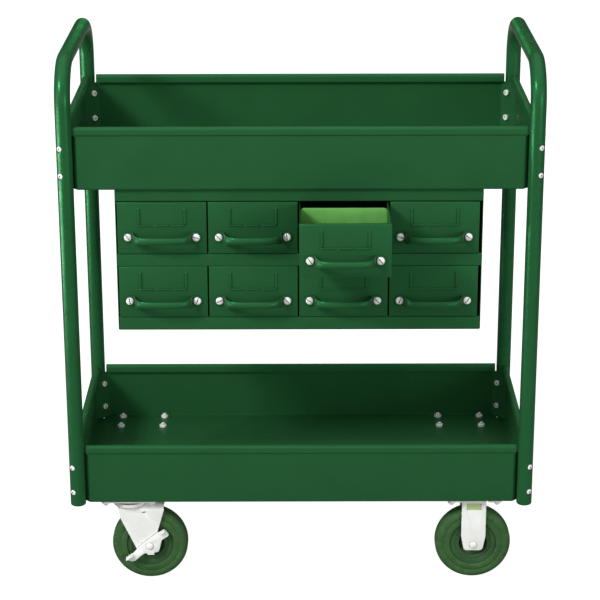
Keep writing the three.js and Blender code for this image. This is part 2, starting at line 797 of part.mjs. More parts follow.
// One stamping: a flat plate and two legs bent down from it, with a window near the top of each leg.
function rigidBracket() {
  const middle = casterLegThick / 2;
  const turn = rigidBend - middle;
  const side = legOuter - middle;
  const top = plateTop - middle;
  const foot = wheelRadius - rigidToeDrop;
  const line = [
    [-side, foot],
    ...arc(-side + turn, top - turn, turn, Math.PI, Math.PI / 2, arcSteps),
    ...arc(side - turn, top - turn, turn, Math.PI / 2, 0, arcSteps),
    [side, foot],
  ];
  const channel = prism(strip(line, casterLegThick), rigidLegWidth, Y, Z);
  const half = rigidLegWidth / 2;
  const toe = rigidToeWidth / 2;
  const taper = wheelRadius + rigidToeRise;
  const outline = polygon([
    [-half, plateTop + overrun],
    [-half, taper],
    [-toe - rigidToeRadius / 2, foot + rigidToeRadius],
    ...arc(-toe + rigidToeRadius, foot + rigidToeRadius, rigidToeRadius, Math.PI, Math.PI * 1.5, arcSteps),
    ...arc(toe - rigidToeRadius, foot + rigidToeRadius, rigidToeRadius, -Math.PI / 2, 0, arcSteps),
    [toe + rigidToeRadius / 2, foot + rigidToeRadius],
    [half, taper],
    [half, plateTop + overrun],
  ]);
  const legs = channel.intersect(prism(outline, 2 * (legOuter + overrun), X, Z));
  const notchHalf = rigidLegWidth / 2 + rigidWindowRadius;
  const notches = [-1, 1].map((sign) => {
    const inner = sign * (legOuter - rigidBend);
    const outer = sign * (casterPlateY / 2 + overrun);
    const [low, high] = [Math.min(inner, outer), Math.max(inner, outer)];
    const under = plateTop - casterPlateThick - overrun;
    return block([-notchHalf, low, under], [notchHalf, high, plateTop + overrun]);
  });
  const window = prism(
    roundedRect(rigidWindowWidth, rigidWindowHeight, rigidWindowRadius),
    2 * (legOuter + overrun),
    X,
    Z,
  ).translate([0, 0, plateTop - rigidWindowTop - rigidWindowHeight / 2]);
  const plate = casterPlate().subtract(joined(...notches));
  return joined(plate, legs).subtract(joined(window, axleHole().translate([0, 0, wheelRadius])));
}

// The swivel plate carries the upper race: a dish pressed down round the recess of the kingpin's head.
function swivelPlate() {
  const underside = plateTop - casterPlateThick;
  const bottom = underside - raceDepth;
  const race = turned(
    [
      [0, bottom],
      [raceRadius, bottom],
      [raceRadius + raceFlare / 2, bottom + raceDepth / 2],
      [raceRadius + raceFlare, underside],
      [raceRadius + raceFlare, underside + casterPlateThick / 2],
      [0, underside + casterPlateThick / 2],
    ],
    roundSides,
    Z,
  );
  const recess = turned(
    [
      [0, bottom - overrun],
      [kingpinDiameter / 2 + seat, bottom - overrun],
      [kingpinDiameter / 2 + seat, plateTop - raceRecess],
      [raceWebRadius, plateTop - raceRecess],
      [raceWebRadius, plateTop + overrun],
      [0, plateTop + overrun],
    ],
    roundSides,
    Z,
  );
  return joined(casterPlate(), race).subtract(recess);
}

const raceBottom = plateTop - casterPlateThick - raceDepth;
const crownTop = raceBottom - seat;
const crownFloor = crownTop - crownBossHeight;

function kingpin() {
  const radius = kingpinDiameter / 2;
  const headFoot = plateTop - raceRecess + seat;
  const head = headFoot + kingpinHeadHeight;
  const under = crownFloor - seat;
  const foot = under - kingpinFootHeight;
  return turned(
    [
      [0, foot],
      [kingpinFootRadius - kingpinEase, foot],
      [kingpinFootRadius, foot + kingpinEase],
      [kingpinFootRadius, under],
      [radius, under],
      [radius, headFoot],
      [kingpinHeadRadius, headFoot],
      [kingpinHeadRadius, head - kingpinEase],
      [kingpinHeadRadius - kingpinEase, head],
      [0, head],
    ],
    roundSides,
    Z,
  );
}

// The fork: one stamping bent into two raked legs that trail to the axle, with a round race cup on top.
function fork() {
  const bore = kingpinDiameter / 2 + seat;
  const lipTop = crownFloor + crownLipHeight;
  const floorTop = crownFloor + crownThick;
  const cupProfile = [
    [bore, crownFloor],
    [crownRadius - crownLip / 2, crownFloor],
    [crownRadius, crownFloor + crownLip / 2],
    [crownRadius, lipTop],
    [crownRadius - crownLip, lipTop],
    [crownRadius - crownLip, floorTop],
    [crownBossRadius, floorTop],
    [crownBossRadius, crownTop],
    [bore, crownTop],
  ];
  const cup = turned([...cupProfile, cupProfile[0]], roundSides, Z);
  const legs = forkChannel(floorTop).intersect(prism(forkOutline(floorTop), 2 * (legOuter + overrun), X, Z));
  const slotDepth = casterLegThick + 2 * overrun; // the slot opens through the front leg only
  const slot = prism(roundedRect(forkSlotWidth, forkSlotHeight, forkSlotHeight / 2 - weld), slotDepth, X, Z);
  const slotPlace = [forkSlotPlace, -legOuter + casterLegThick / 2, crownFloor - forkSlotDrop];
  const pinHole = bar(bore, -overrun, overrun, roundSides, Z);
  const cuts = joined(
    axleHole().translate([swivelTrail, 0, wheelRadius]),
    slot.translate(slotPlace),
    pinHole.translate([0, 0, crownFloor]),
  );
  return joined(cup, legs).subtract(cuts);
}

function forkChannel(top) {
  const middle = casterLegThick / 2;
  const turn = forkBend - middle;
  const side = legOuter - middle;
  const foot = wheelRadius - forkToeDrop - overrun;
  const line = [
    [-side, foot],
    ...arc(-side + turn, top - middle - turn, turn, Math.PI, Math.PI / 2, arcSteps),
    ...arc(side - turn, top - middle - turn, turn, Math.PI / 2, 0, arcSteps),
    [side, foot],
  ];
  return prism(strip(line, casterLegThick), 2 * (forkReach + overrun), Y, Z);
}

// The side view of the legs: wide under the crown, cut back behind it, narrow at the toe.
function forkOutline(top) {
  const toe = wheelRadius - forkToeDrop;
  const waist = wheelRadius + forkWaistRise;
  const frontToe = swivelTrail - forkToeFront;
  const backToe = swivelTrail + forkToeBack;
  return polygon([
    [-crownRadius, top + overrun],
    [-crownRadius + forkShoulder, top],
    [-forkKneeRun, top - forkKneeDrop],
    [frontToe - forkToeRadius / 2, toe + forkToeRadius],
    ...arc(frontToe + forkToeRadius, toe + forkToeRadius, forkToeRadius, Math.PI, Math.PI * 1.5, arcSteps),
    ...arc(backToe - forkToeRadius, toe + forkToeRadius, forkToeRadius, -Math.PI / 2, 0, arcSteps),
    [backToe - forkWaist, waist],
    [forkReach, top - forkWingDrop],
    [forkReach, top + overrun],
  ]);
}

// The brake lever rocks on the axle outside the front leg. One stamping: a hub plate with a small lug,
// a release arm up to the right with a lip, and a pedal arm down to the left, joggled out from the hub's
// plane, with a toothed tread along its upper edge.
function brakeLever() {
  const middle = -legOuter - seat - leverThick / 2;
  const far = 2 * leverReach;
  const plan = [
    [-far, middle - leverJoggle],
    [-leverJoggleEnd, middle - leverJoggle],
    [-leverJoggleStart, middle],
    [far, middle],
  ];
  const sheet = prism(strip(plan, leverThick), 2 * far, X, Y).rotate([0, -leverPedalAngle, 0]);
  const corners = [...leverHubShares, ...leverReleaseShares, ...leverPedalShares];
  const outline = polygon(corners.map(([x, z]) => [x * leverReach, z * leverReach]));
  const plate = sheet.intersect(prism(outline, 2 * (legOuter + far), X, Z));
  return joined(plate, leverTread(middle), leverLip(middle)).subtract(axleHole());
}

// The tread's ridges run across the pedal's upper edge.
function leverTread(middle) {
  const teeth = Array.from({ length: leverTeeth }, (_, i) => [
    [-(i + 0.5) * leverToothPitch, leverToothHeight],
    [-(i + 1) * leverToothPitch, 0],
  ]).flat();
  const run = leverTeeth * leverToothPitch;
  const section = polygon([[-run, -leverThick], [0, -leverThick], [0, 0], ...teeth]);
  const depth = leverTreadDepth + leverThick;
  const back = middle - leverJoggle + leverThick / 2;
  const [x, z] = leverTreadShares.map((share) => share * leverReach);
  return prism(section, depth, X, Z).rotate([0, -leverTreadAngle, 0]).translate([x, back - depth / 2, z]);
}

// The lip stands forward from the upper corner of the release arm.
function leverLip(middle) {
  const depth = leverTabDepth + leverThick;
  const [x, z] = leverTabShares.map((share) => share * leverReach);
  const lip = block([-leverTabRun, -depth, -leverThick], [0, 0, 0]);
  return lip.rotate([0, -leverPedalAngle, 0]).translate([x, middle + leverThick / 2, z]);
}

// Assembly
const cart = new THREE.Group();

function place(name, shape, material, x = 0, y = 0, z = 0, parent = cart) {
  const mesh = meshOf(name, shape, material);
  mesh.position.set(x, y, z);
  parent.add(mesh);
  return mesh;
}

function addFrames() {
  const shape = frame();
  const plugShape = legPlug();
  const plugTop = casterHeight - legDrop - seat;
  [["left", -1], ["right", 1]].forEach(([side, signX]) => {
    place(`${side}_frame`, shape, tubePaint, signX * legX);
    [["front", -1], ["back", 1]].forEach(([end, signY]) => {
      place(`leg_plug_${end}_${side}`, plugShape, plugPlastic, signX * legX, signY * legY, plugTop);
    });
  });
}

function addTrays() {
  const shape = tray();
  place("upper_tray", shape, paint, 0, 0, upperTrayFloor);
  place("lower_tray", shape, paint, 0, 0, casterHeight);
}

function addCabinet() {
  const middleY = cabinetFront + cabinetDepth / 2;
  const x = cabinetMiddle;
  place("cabinet_shell", cabinetShell(), paint, x, middleY, cabinetTop - cabinetHeight / 2);
  place("cabinet_middle_shelf", shelf(true), paint, x, cabinetFront, bottomBay + drawerOpening + railHeight);
  place("cabinet_bottom_shelf", shelf(false), paint, x, cabinetFront, bottomBay);
  const plate = partition();
  partitionPlaces().forEach((along, i) => {
    place(`cabinet_partition_${i + 1}`, plate, paint, x + along, cabinetFront, bottomBay);
  });
}

function addDrawers() {
  const [box, strap, sheet] = [drawer(), pull(), divider()];
  [["top", bottomBay + drawerOpening + railHeight], ["bottom", bottomBay]].forEach(([row, floor]) => {
    for (let i = 0; i < drawerColumns; i++) {
      const name = `drawer_${row}_${i + 1}`;
      const open = name === "drawer_top_3" ? drawerPulledOut : 0;
      const group = new THREE.Group();
      const x = cabinetMiddle + rowMiddle + (i + (1 - drawerColumns) / 2) * drawerPitch;
      group.position.set(x, cabinetFront - frontProud - open, floor + frontRailGap);
      cart.add(group);
      place(name, box, paint, 0, 0, 0, group);
      place(`${name}_pull`, strap, paint, 0, -seat, pullHeight, group);
      place(`${name}_divider`, sheet, dividerZinc, 0, dividerPlace, 0, group);
    }
  });
}

function addRigidCaster(end, y) {
  const x = legX - rigidInset;
  place(`rigid_bracket_${end}`, rigidBracket(), zinc, x, y, 0);
  place(`rigid_axle_${end}`, axle(legOuter + seat), zinc, x, y, wheelRadius);
  place(`rigid_core_${end}`, core(), coreRubber, x, y, wheelRadius);
  place(`rigid_tyre_${end}`, tyre(), rubber, x, y, wheelRadius);
}

function addSwivelCaster(end, y) {
  const x = swivelInset - legX;
  const wheelX = x + swivelTrail;
  place(`swivel_plate_${end}`, swivelPlate(), zinc, x, y, 0);
  place(`swivel_kingpin_${end}`, kingpin(), zinc, x, y, 0);
  place(`swivel_fork_${end}`, fork(), zinc, x, y, 0);
  place(`swivel_axle_${end}`, axle(legOuter + 2 * seat + leverThick), zinc, wheelX, y, wheelRadius);
  place(`swivel_core_${end}`, core(), coreRubber, wheelX, y, wheelRadius);
  place(`swivel_tyre_${end}`, tyre(), rubber, wheelX, y, wheelRadius);
  place(`brake_lever_${end}`, brakeLever(), zinc, wheelX, y, wheelRadius);
}

addFrames();
addTrays();
addCabinet();
addDrawers();
[["front", casterInset - legY], ["back", legY - casterInset]].forEach(([end, y]) => {
  addRigidCaster(end, y);
  addSwivelCaster(end, y);
});
cart.position.y = footprintShift;

export default cart;
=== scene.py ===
"""Stock cart with two hemmed trays, eight small drawers and four casters.

Laid out as an add-on and run as a script: each operator models one group of pieces over the frame.
Lengths are metres in the frame's own axes, x along the cart, y from front to back, z up.
"""

import json
import math

import bmesh
import bpy
from bpy.props import FloatProperty, FloatVectorProperty, PointerProperty
from mathutils import Matrix, Vector


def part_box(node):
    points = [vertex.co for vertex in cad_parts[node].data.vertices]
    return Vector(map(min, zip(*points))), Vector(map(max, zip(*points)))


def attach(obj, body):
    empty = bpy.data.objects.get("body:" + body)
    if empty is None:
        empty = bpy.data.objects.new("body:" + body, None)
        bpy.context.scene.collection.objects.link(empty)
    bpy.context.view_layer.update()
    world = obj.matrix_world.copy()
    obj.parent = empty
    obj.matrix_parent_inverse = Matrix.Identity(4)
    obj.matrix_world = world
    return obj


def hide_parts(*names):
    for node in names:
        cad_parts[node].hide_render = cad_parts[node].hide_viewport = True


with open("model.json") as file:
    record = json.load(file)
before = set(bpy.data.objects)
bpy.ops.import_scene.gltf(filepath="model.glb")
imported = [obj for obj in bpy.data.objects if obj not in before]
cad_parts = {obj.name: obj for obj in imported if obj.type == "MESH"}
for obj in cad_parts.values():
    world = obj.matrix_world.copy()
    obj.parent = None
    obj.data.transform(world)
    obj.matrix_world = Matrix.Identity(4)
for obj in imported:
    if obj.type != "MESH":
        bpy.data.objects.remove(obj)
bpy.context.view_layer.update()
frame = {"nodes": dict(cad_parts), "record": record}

bl_info = {
    "name": "Stock cart",
    "version": (1, 0, 0),
    "blender": (4, 5, 0),
    "location": "3D View > Sidebar > Stock cart",
    "description": "Models a two-tray stock cart with drawers, casters and brakes",
    "category": "Object",
}

MM = 0.001
REST = 0.0003  # gap between pieces that rest on each other
PROUD = 0.0015  # how far the card holders stand out of the drawer fronts
QUARTER = math.pi / 2
ENDS = ("front", "back")
CORNERS = ((-1, -1), (-1, 1), (1, -1), (1, 1))
PARTITIONS = [f"cabinet_partition_{i}" for i in (1, 2, 3)]
SMOOTH_ANGLE = math.radians(32)
ORIGIN = Vector((0, 0, 0))
ALONG, ACROSS, UP = Vector((1, 0, 0)), Vector((0, 1, 0)), Vector((0, 0, 1))


def middle(node):
    low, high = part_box(node)
    return (low + high) / 2


def under(node):
    """The point at floor level below the middle of a node."""
    place = middle(node)
    place.z = 0
    return place


def tint(*screen):
    """A screen colour in 0-255 steps as the linear colour that the shaders take."""
    return tuple(((c / 255 + 0.055) / 1.055) ** 2.4 if c > 10 else c / 255 / 12.92 for c in screen)


# Places that come from the frame
CART_Y = middle("left_frame").y
LEG_X = middle("right_frame").x
LEG_Y = middle("leg_plug_back_left").y - CART_Y
TRAY_Z = {"upper_tray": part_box("upper_tray")[0].z, "lower_tray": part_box("lower_tray")[0].z}


# Settings


def number(name, text, default, **more):
    return FloatProperty(name=name, description=text, default=default, **more)


def length(name, text, default):
    return number(name, text, default, min=0, max=2, subtype="DISTANCE", unit="LENGTH")


def angle(name, text, default):
    return number(name, text, default, subtype="ANGLE", unit="ROTATION")


def power(name, text, default):
    return number(name, text, default, min=0, unit="POWER")


def colour(name, text, default):
    return FloatVectorProperty(
        name=name, description=text, default=default, min=0, max=1, size=3, subtype="COLOR"
    )


class CartTubeSizes(bpy.types.PropertyGroup):
    """Sizes of the bent end frames."""

    diameter: length("Tube diameter", "Outside diameter of the frame tube", 0.0254)
    wall: length("Tube wall", "Wall thickness of the frame tube", 0.00165)
    bend: length("Bend radius", "Centre-line radius of the handle bends", 0.0635)
    bolt_head: length("Bolt head", "Diameter of the bolt heads on the legs", 0.0094)
    bolt_seat: length("Bolt seat", "Flat under a bolt head, from the middle of the tube", 0.0111)
    bolt_turn: angle("Bolt turn", "How far the bolt heads turn out to the cart's ends", 0.62)
    bolt_high: length("First bolt", "Upper bolt under the top of the upper tray", 0.0325)
    bolt_low: length("Second bolt", "Lower bolt under the top of the upper tray", 0.0766)
    bolt_sink: length("Lower tray bolts", "How much lower both bolts sit in the lower tray", 0.0028)


class CartTraySizes(bpy.types.PropertyGroup):
    """Sizes of the two folded trays."""

    length: length("Length", "Length of a tray over its hems", 0.755)
    width: length("Width", "Width of a tray over its hems", 0.388)
    height: length("Height", "Height of a tray", 0.102)
    sheet: length("Sheet", "Thickness of the tray sheet", 0.0015)
    hem: length("Hem width", "Width of the rolled hem", 0.011)
    hem_lip: length("Hem lip", "Depth of the inner leg of the hem", 0.014)
    hem_gap: length("Hem gap", "Gap between the end of a hem and a leg", 0.0028)
    joggle: length("Joggle", "How far the walls stand in from the hem", 0.0018)
    joggle_high: length("Joggle start", "Upper end of the joggle under the top of the hem", 0.012)
    joggle_low: length("Joggle end", "Lower end of the joggle under the top of the hem", 0.0142)
    floor_bend: length("Floor bend", "Outside radius at the foot of the walls", 0.0032)
    corner_cut: length("Corner cut", "Length of wall lost at each corner strip", 0.0238)


class CartCabinetSizes(bpy.types.PropertyGroup):
    """Sizes of the cabinet under the upper tray."""

    sheet: length("Sheet", "Thickness of the cabinet sheet", 0.0012)
    bend: length("Bend", "Radius of the folds", 0.0018)
    rail: length("Top rail", "Height of the rail over the drawers", 0.0206)
    lip: length("Rail lip", "Depth of the lip along the foot of the rail", 0.009)


class CartDrawerSizes(bpy.types.PropertyGroup):
    """Sizes of the drawers and their pulls."""

    sheet: length("Front sheet", "Thickness of a drawer front", 0.0012)
    fold: length("Front fold", "Depth of the fold along the top of a front", 0.007)
    holder_top: length("Card holder top", "Top of the card holder under the top of the front", 0.009)
    holder_height: length("Card holder height", "Height of the tabs at its sides", 0.028)
    holder_width: length("Card holder width", "Distance between those tabs", 0.0735)
    box_sheet: length("Box sheet", "Thickness of the drawer box", 0.001)
    box_gap: length("Box gap", "How far the box walls stand in from the edge of the front", 0.0008)
    box_drop: length("Box drop", "How far the box walls end under the top of the front", 0.0025)
    pull_span: length("Pull screws", "Distance between the two screws of a pull", 0.1085)
    pull_height: length("Pull height", "Height of the pull above the foot of the front", 0.0275)
    pull_reach: length("Pull reach", "How far a pull stands out from the front", 0.0285)
    pull_sheet: length("Pull sheet", "Thickness of the pull strap", 0.0016)
    pull_tab: length("Pull tab", "Height of the round tabs of a pull", 0.017)
    pull_strap: length("Pull strap", "Height of a pull in its middle", 0.0108)
    pull_power: number("Pull bow", "1 bows the pull as an ellipse, less squarer", 0.64)
    pull_crown: number("Pull crown", "Share of its reach lost at a pull's edges", 0.085)
    screw_head: length("Screw head", "Diameter of the screw heads on the pulls", 0.0125)


class CartCasterSizes(bpy.types.PropertyGroup):
    """Sizes of the casters."""

    wheel: length("Wheel radius", "Radius of a wheel", 0.0635)
    tyre: length("Tyre width", "Width of a tyre", 0.03175)
    shoulder: length("Tyre shoulder", "Radius of the tyre's shoulders", 0.0095)
    core: length("Core radius", "Radius of the wheel core", 0.0385)
    side_gap: length("Side gap", "Gap between a tyre and the legs", 0.002)
    leg: length("Leg sheet", "Thickness of the caster legs and plates", 0.003)
    plate_x: length("Plate length", "Length of the mounting plate", 0.092)
    plate_y: length("Plate width", "Width of the mounting plate", 0.066)
    bolt_x: length("Bolt length", "Distance of the plate bolts along the cart", 0.0762)
    bolt_y: length("Bolt width", "Distance of the plate bolts across the cart", 0.045)
    trail: length("Trail", "Distance from the kingpin to the axle", 0.03285)
    kingpin: length("Kingpin bore", "Radius of the bores round the kingpin", 0.0063)
    pocket: length("Pocket", "Depth of the pockets in the rigid brackets", 0.0014)
    lever_sheet: length("Lever sheet", "Thickness of the brake lever", 0.0026)
    lever_joggle: length("Lever joggle", "How far the pedal stands before the lever's hub", 0.0045)
    lever_slope: angle("Lever slope", "Slope of the brake lever's arms", 0.698)


class CartColours(bpy.types.PropertyGroup):
    """Colours of the finishes."""

    sheet: colour("Sheet paint", "Powder coat on the sheet parts", tint(38, 86, 50))
    tube: colour("Tube paint", "Powder coat on the tubes", tint(36, 88, 50))
    shine: colour("Paint shine", "Tint of the highlights on both paints", (0.08, 0.9, 0.3))
    zinc: colour("Zinc", "Zinc plate on casters and screws", tint(252, 255, 249))
    # Painted shade: zinc darkened and tinted green to stand for the shade inside the shallow pockets of the
    # rigid brackets.
    pocket: colour("Pocket", "Clouded zinc in the pockets of the rigid brackets", tint(198, 220, 152))
    divider: colour("Divider", "Zinc plate inside the drawers", tint(120, 196, 98))
    tyre: colour("Tyre", "Moulded tread", tint(58, 94, 53))
    core: colour("Core", "Moulded wheel core", tint(54, 86, 52))
    plug: colour("Plug", "Plugs in the leg ends", tint(28, 66, 38))
    glow: colour("Glow", "Light on the handle bars from behind", (0.06, 1, 0.22))


class CartStage(bpy.types.PropertyGroup):
    """The view and the light."""

    lens: number("Lens", "Focal length", 121.09, min=10, max=400, unit="CAMERA")
    camera: FloatVectorProperty(
        name="Camera",
        description="Place of the camera",
        default=(-0.00316, -3.2588 + CART_Y, 1.5599),
        size=3,
        subtype="XYZ",
        unit="LENGTH",
    )
    pitch: angle("Pitch", "Downward tilt", 0.331)
    yaw: angle("Yaw", "Turn to the right", 0.0006)
    roll: angle("Roll", "Tilt to the side", -0.002)
    key: power("Key light", "Power of the main lamp", 172)
    fill: power("Fill light", "Power of the second lamp", 54)
    side: power("Side light", "Power of the tall lamp at the left", 11)
    back: power("Back light", "Power of the lamp behind the cart", 95)
    card: power("Card", "Power of the card that only shows in reflections", 170)
    glow: power("Glow", "Power of the green glow on the handle bars", 1.05)
    ahead: number("Room ahead", "Strength of the sky before the cart", 0.5, min=0, max=2)
    behind: number("Room behind", "Strength of the sky behind it", 0.02, min=0, max=2)
    overhead: number("Overhead", "Strength added from above", 0.9, min=0, max=2)
    floor: number("Floor", "How much light the floor throws back", 0.18, min=0, max=1)


# Modelling helpers


def settle():
    """Back to object mode with nothing selected."""
    if bpy.context.object and bpy.context.object.mode != "OBJECT":
        bpy.ops.object.mode_set(mode="OBJECT")
    bpy.ops.object.select_all(action="DESELECT")


def work_on(*pieces):
    settle()
    for piece in pieces:
        piece.select_set(True)
    bpy.context.view_layer.objects.active = pieces[0]


def drop(*pieces):
    for piece in pieces:
        bpy.data.objects.remove(piece)


def rename(piece, name):
    piece.name = name
    piece.data.name = name
    return piece


def apply_place():
    bpy.ops.object.transform_apply(location=True, rotation=True, scale=True)


def extrude(step):
    bpy.ops.mesh.extrude_region_move(TRANSFORM_OT_translate={"value": step})


def face_out():
    bpy.ops.mesh.select_all(action="SELECT")
    bpy.ops.mesh.normals_make_consistent(inside=False)
    settle()


def draw(name, points):
    """A line of edges through the points, left in edit mode."""
    settle()
    bpy.ops.mesh.primitive_plane_add(size=MM, location=ORIGIN)
    piece = rename(bpy.context.object, name)
    bpy.ops.object.mode_set(mode="EDIT")
    bpy.ops.mesh.select_mode(type="VERT")
    bpy.ops.mesh.select_all(action="SELECT")
    bpy.ops.mesh.merge(type="CENTER")
    bpy.ops.transform.translate(value=points[0])
    for here, there in zip(points, points[1:]):
        extrude(there - here)
    return piece


def select(piece, kind, test):
    """Selects the vertices, edges or faces that pass the test, in edit mode."""
    bpy.ops.mesh.select_mode(type=kind[:-1].upper())
    bpy.ops.mesh.select_all(action="DESELECT")
    mesh = bmesh.from_edit_mesh(piece.data)
    for item in getattr(mesh, kind):
        if test(item):
            item.select_set(True)
    mesh.select_flush_mode()
    bmesh.update_edit_mesh(piece.data)


def modify(piece, kind, **settings):
    work_on(piece)
    bpy.ops.object.modifier_add(type=kind)
    modifier = piece.modifiers[-1]
    for key, value in settings.items():
        setattr(modifier, key, value)
    bpy.ops.object.modifier_apply(modifier=modifier.name)
    return piece


def ease(piece, width, segments=2, corner=50):
    """Rounds the edges sharper than the corner, in degrees."""
    limit = math.radians(corner)
    return modify(piece, "BEVEL", width=width, segments=segments, limit_method="ANGLE", angle_limit=limit)


def cut(piece, cutter, operation="DIFFERENCE"):
    modify(piece, "BOOLEAN", operation=operation, object=cutter, solver="EXACT")
    drop(cutter)
    return piece


def join(name, *pieces):
    work_on(*pieces)
    bpy.ops.object.join()
    return rename(pieces[0], name)


def thicken(piece, sheet):
    """Gives a surface in edit mode its sheet, half to each side."""
    face_out()
    modify(piece, "SOLIDIFY", thickness=sheet, offset=0, use_even_offset=True)
    work_on(piece)
    bpy.ops.object.mode_set(mode="EDIT")
    face_out()
    return piece


def on_plane(line, place, across, up):
    """2D points as 3D ones on a plane through the place."""
    return [Vector(place) + across * x + up * y for x, y in line]


def plate(name, line, place, across, up, step):
    """A flat plate: a closed outline on a plane, pulled along a step."""
    piece = draw(name, on_plane(line, place, across, up))
    bpy.ops.mesh.select_all(action="SELECT")
    bpy.ops.mesh.edge_face_add()
    extrude(step)
    face_out()
    return piece


def folded(name, line, place, across, up, step, sheet):
    """A folded sheet: an open line on a plane, pulled along a step and thickened."""
    piece = draw(name, on_plane(line, place, across, up))
    bpy.ops.mesh.select_all(action="SELECT")
    extrude(step)
    return thicken(piece, sheet)


def trim(piece, line):
    """Keeps what lies inside an outline drawn on the front view."""
    return cut(piece, plate("outline", line, ACROSS * -0.1, ALONG, UP, ACROSS * 0.2), "INTERSECT")


def slope(rise):
    """The directions along and over a slope that rises from left to right."""
    return Vector((math.cos(rise), 0, math.sin(rise))), Vector((-math.sin(rise), 0, math.cos(rise)))


def turned(name, profile, axis, steps=64, centre=ORIGIN, closed=False):
    """A lathe piece from [radius, place along the axis] points."""
    centre = Vector(centre)
    out = ALONG if axis.cross(ALONG).length > MM else UP
    out = (out - axis * out.dot(axis) / axis.length_squared).normalized()
    points = [centre + out * radius + axis * place for radius, place in profile]
    piece = draw(name, points + points[:1] if closed else points)
    bpy.ops.mesh.select_all(action="SELECT")
    bpy.ops.mesh.spin(steps=steps, angle=2 * math.pi, center=centre, axis=axis)
    bpy.ops.mesh.select_all(action="SELECT")
    bpy.ops.mesh.remove_doubles(threshold=0.000002)
    face_out()
    return piece


def block(name, low, high):
    settle()
    low, high = Vector(low), Vector(high)
    bpy.ops.mesh.primitive_cube_add(size=1, location=(low + high) / 2, scale=high - low)
    piece = rename(bpy.context.object, name)
    apply_place()
    return piece


def copy_of(piece, name, place=ORIGIN, turn=None):
    """A copy with its own mesh, turned and moved, its place kept in the mesh."""
    twin = piece.copy()
    twin.data = piece.data.copy()
    rename(twin, name)
    bpy.context.collection.objects.link(twin)
    work_on(twin)
    twin.matrix_world = Matrix.Translation(place) @ (turn or Matrix())
    apply_place()
    return twin


def mirrored(line, *between, x=-1, y=1):
    """The line, the points in between, and the line's mirror image drawn backwards."""
    return line + list(between) + [(x * a, y * b) for a, b in line[::-1]]


def in_mm(line):
    return [(x * MM, y * MM) for x, y in line]


def rod(radius, start, end):
    """The profile of a cylinder."""
    return [(0, start), (radius, start), (radius, end), (0, end)]


def dome(radius, start, rise, steps, count, bulge=1):
    """The profile of a dome, without its last points."""
    angles = [i * QUARTER / steps for i in range(count)]
    return [(radius * math.cos(a) ** bulge, start + rise * math.sin(a)) for a in angles]


def arc(x, y, radius, start, end, steps):
    angles = [start + (end - start) * i / steps for i in range(steps + 1)]
    return [(x + radius * math.cos(a), y + radius * math.sin(a)) for a in angles]


def rounded(points, radii, closed=False, steps=6):
    """The line through 2D points with its corners rounded, one radius for each point."""
    made = []
    count = len(points)
    for i, (point, radius) in enumerate(zip(points, radii)):
        here = Vector(point)
        if not radius or (not closed and i in (0, count - 1)):
            made.append(tuple(here))
            continue
        into = (here - Vector(points[i - 1])).normalized()
        out = (Vector(points[(i + 1) % count]) - here).normalized()
        turn = into.angle_signed(out)
        side = 1 if turn < 0 else -1
        start = here - into * (radius * math.tan(abs(turn) / 2))
        centre = start + Vector((-into.y, into.x)) * side * radius
        first = start - centre
        for k in range(steps + 1):
            swing = side * abs(turn) * k / steps
            cos, sin = math.cos(swing), math.sin(swing)
            spoke = Vector((first.x * cos - first.y * sin, first.x * sin + first.y * cos))
            made.append(tuple(centre + spoke))
    return made


def rounded_box(low, high, radii, steps=6):
    """A rectangle between two corners, its own corners rounded from the low one on."""
    (left, foot), (right, top) = low, high
    return rounded([(left, foot), (right, foot), (right, top), (left, top)], radii, closed=True, steps=steps)


def finish(piece, body, slot, *nodes, look=None, angle=SMOOTH_ANGLE):
    """The last step of each piece: smooth shading, material, a parent empty for its body, and the frame's
    nodes that it replaces hidden.
    """
    work_on(piece)
    bpy.ops.object.shade_smooth_by_angle(angle=angle)
    piece.data.materials.clear()
    piece.data.materials.append(FINISHES[look or slot])
    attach(piece, body)
    if nodes:
        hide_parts(*nodes)


def put(form, name, place, body, slot, *nodes, turn=None, **more):
    """A finished copy of a form at its place."""
    finish(copy_of(form, name, place, turn), body, slot, *nodes, **more)


# Finishes

FINISHES = {}


def fill_in(tree, node, sockets):
    """Sets a node's sockets, each to a value or to another node's output."""
    for key, value in sockets.items():
        if isinstance(value, bpy.types.NodeSocket):
            tree.links.new(value, node.inputs[key])
        else:
            node.inputs[key].default_value = value
    return node


def add_node(tree, kind, sockets=None, **settings):
    node = tree.nodes.new(kind)
    for key, value in settings.items():
        setattr(node, key, value)
    return fill_in(tree, node, sockets or {})


def ramp(tree, value, start, end, low, high):
    """The value from start to end, drawn out from low to high."""
    sockets = {"Value": value, "From Min": start, "From Max": end, "To Min": low, "To Max": high}
    return add_node(tree, "ShaderNodeMapRange", sockets).outputs["Result"]


def seen(tree):
    """1 where the camera looks, 0 for the light's own rays."""
    rays = add_node(tree, "ShaderNodeLightPath").outputs
    sockets = {0: rays["Is Camera Ray"], 1: rays["Is Transmission Ray"]}
    return add_node(tree, "ShaderNodeMath", sockets, operation="MAXIMUM").outputs[0]


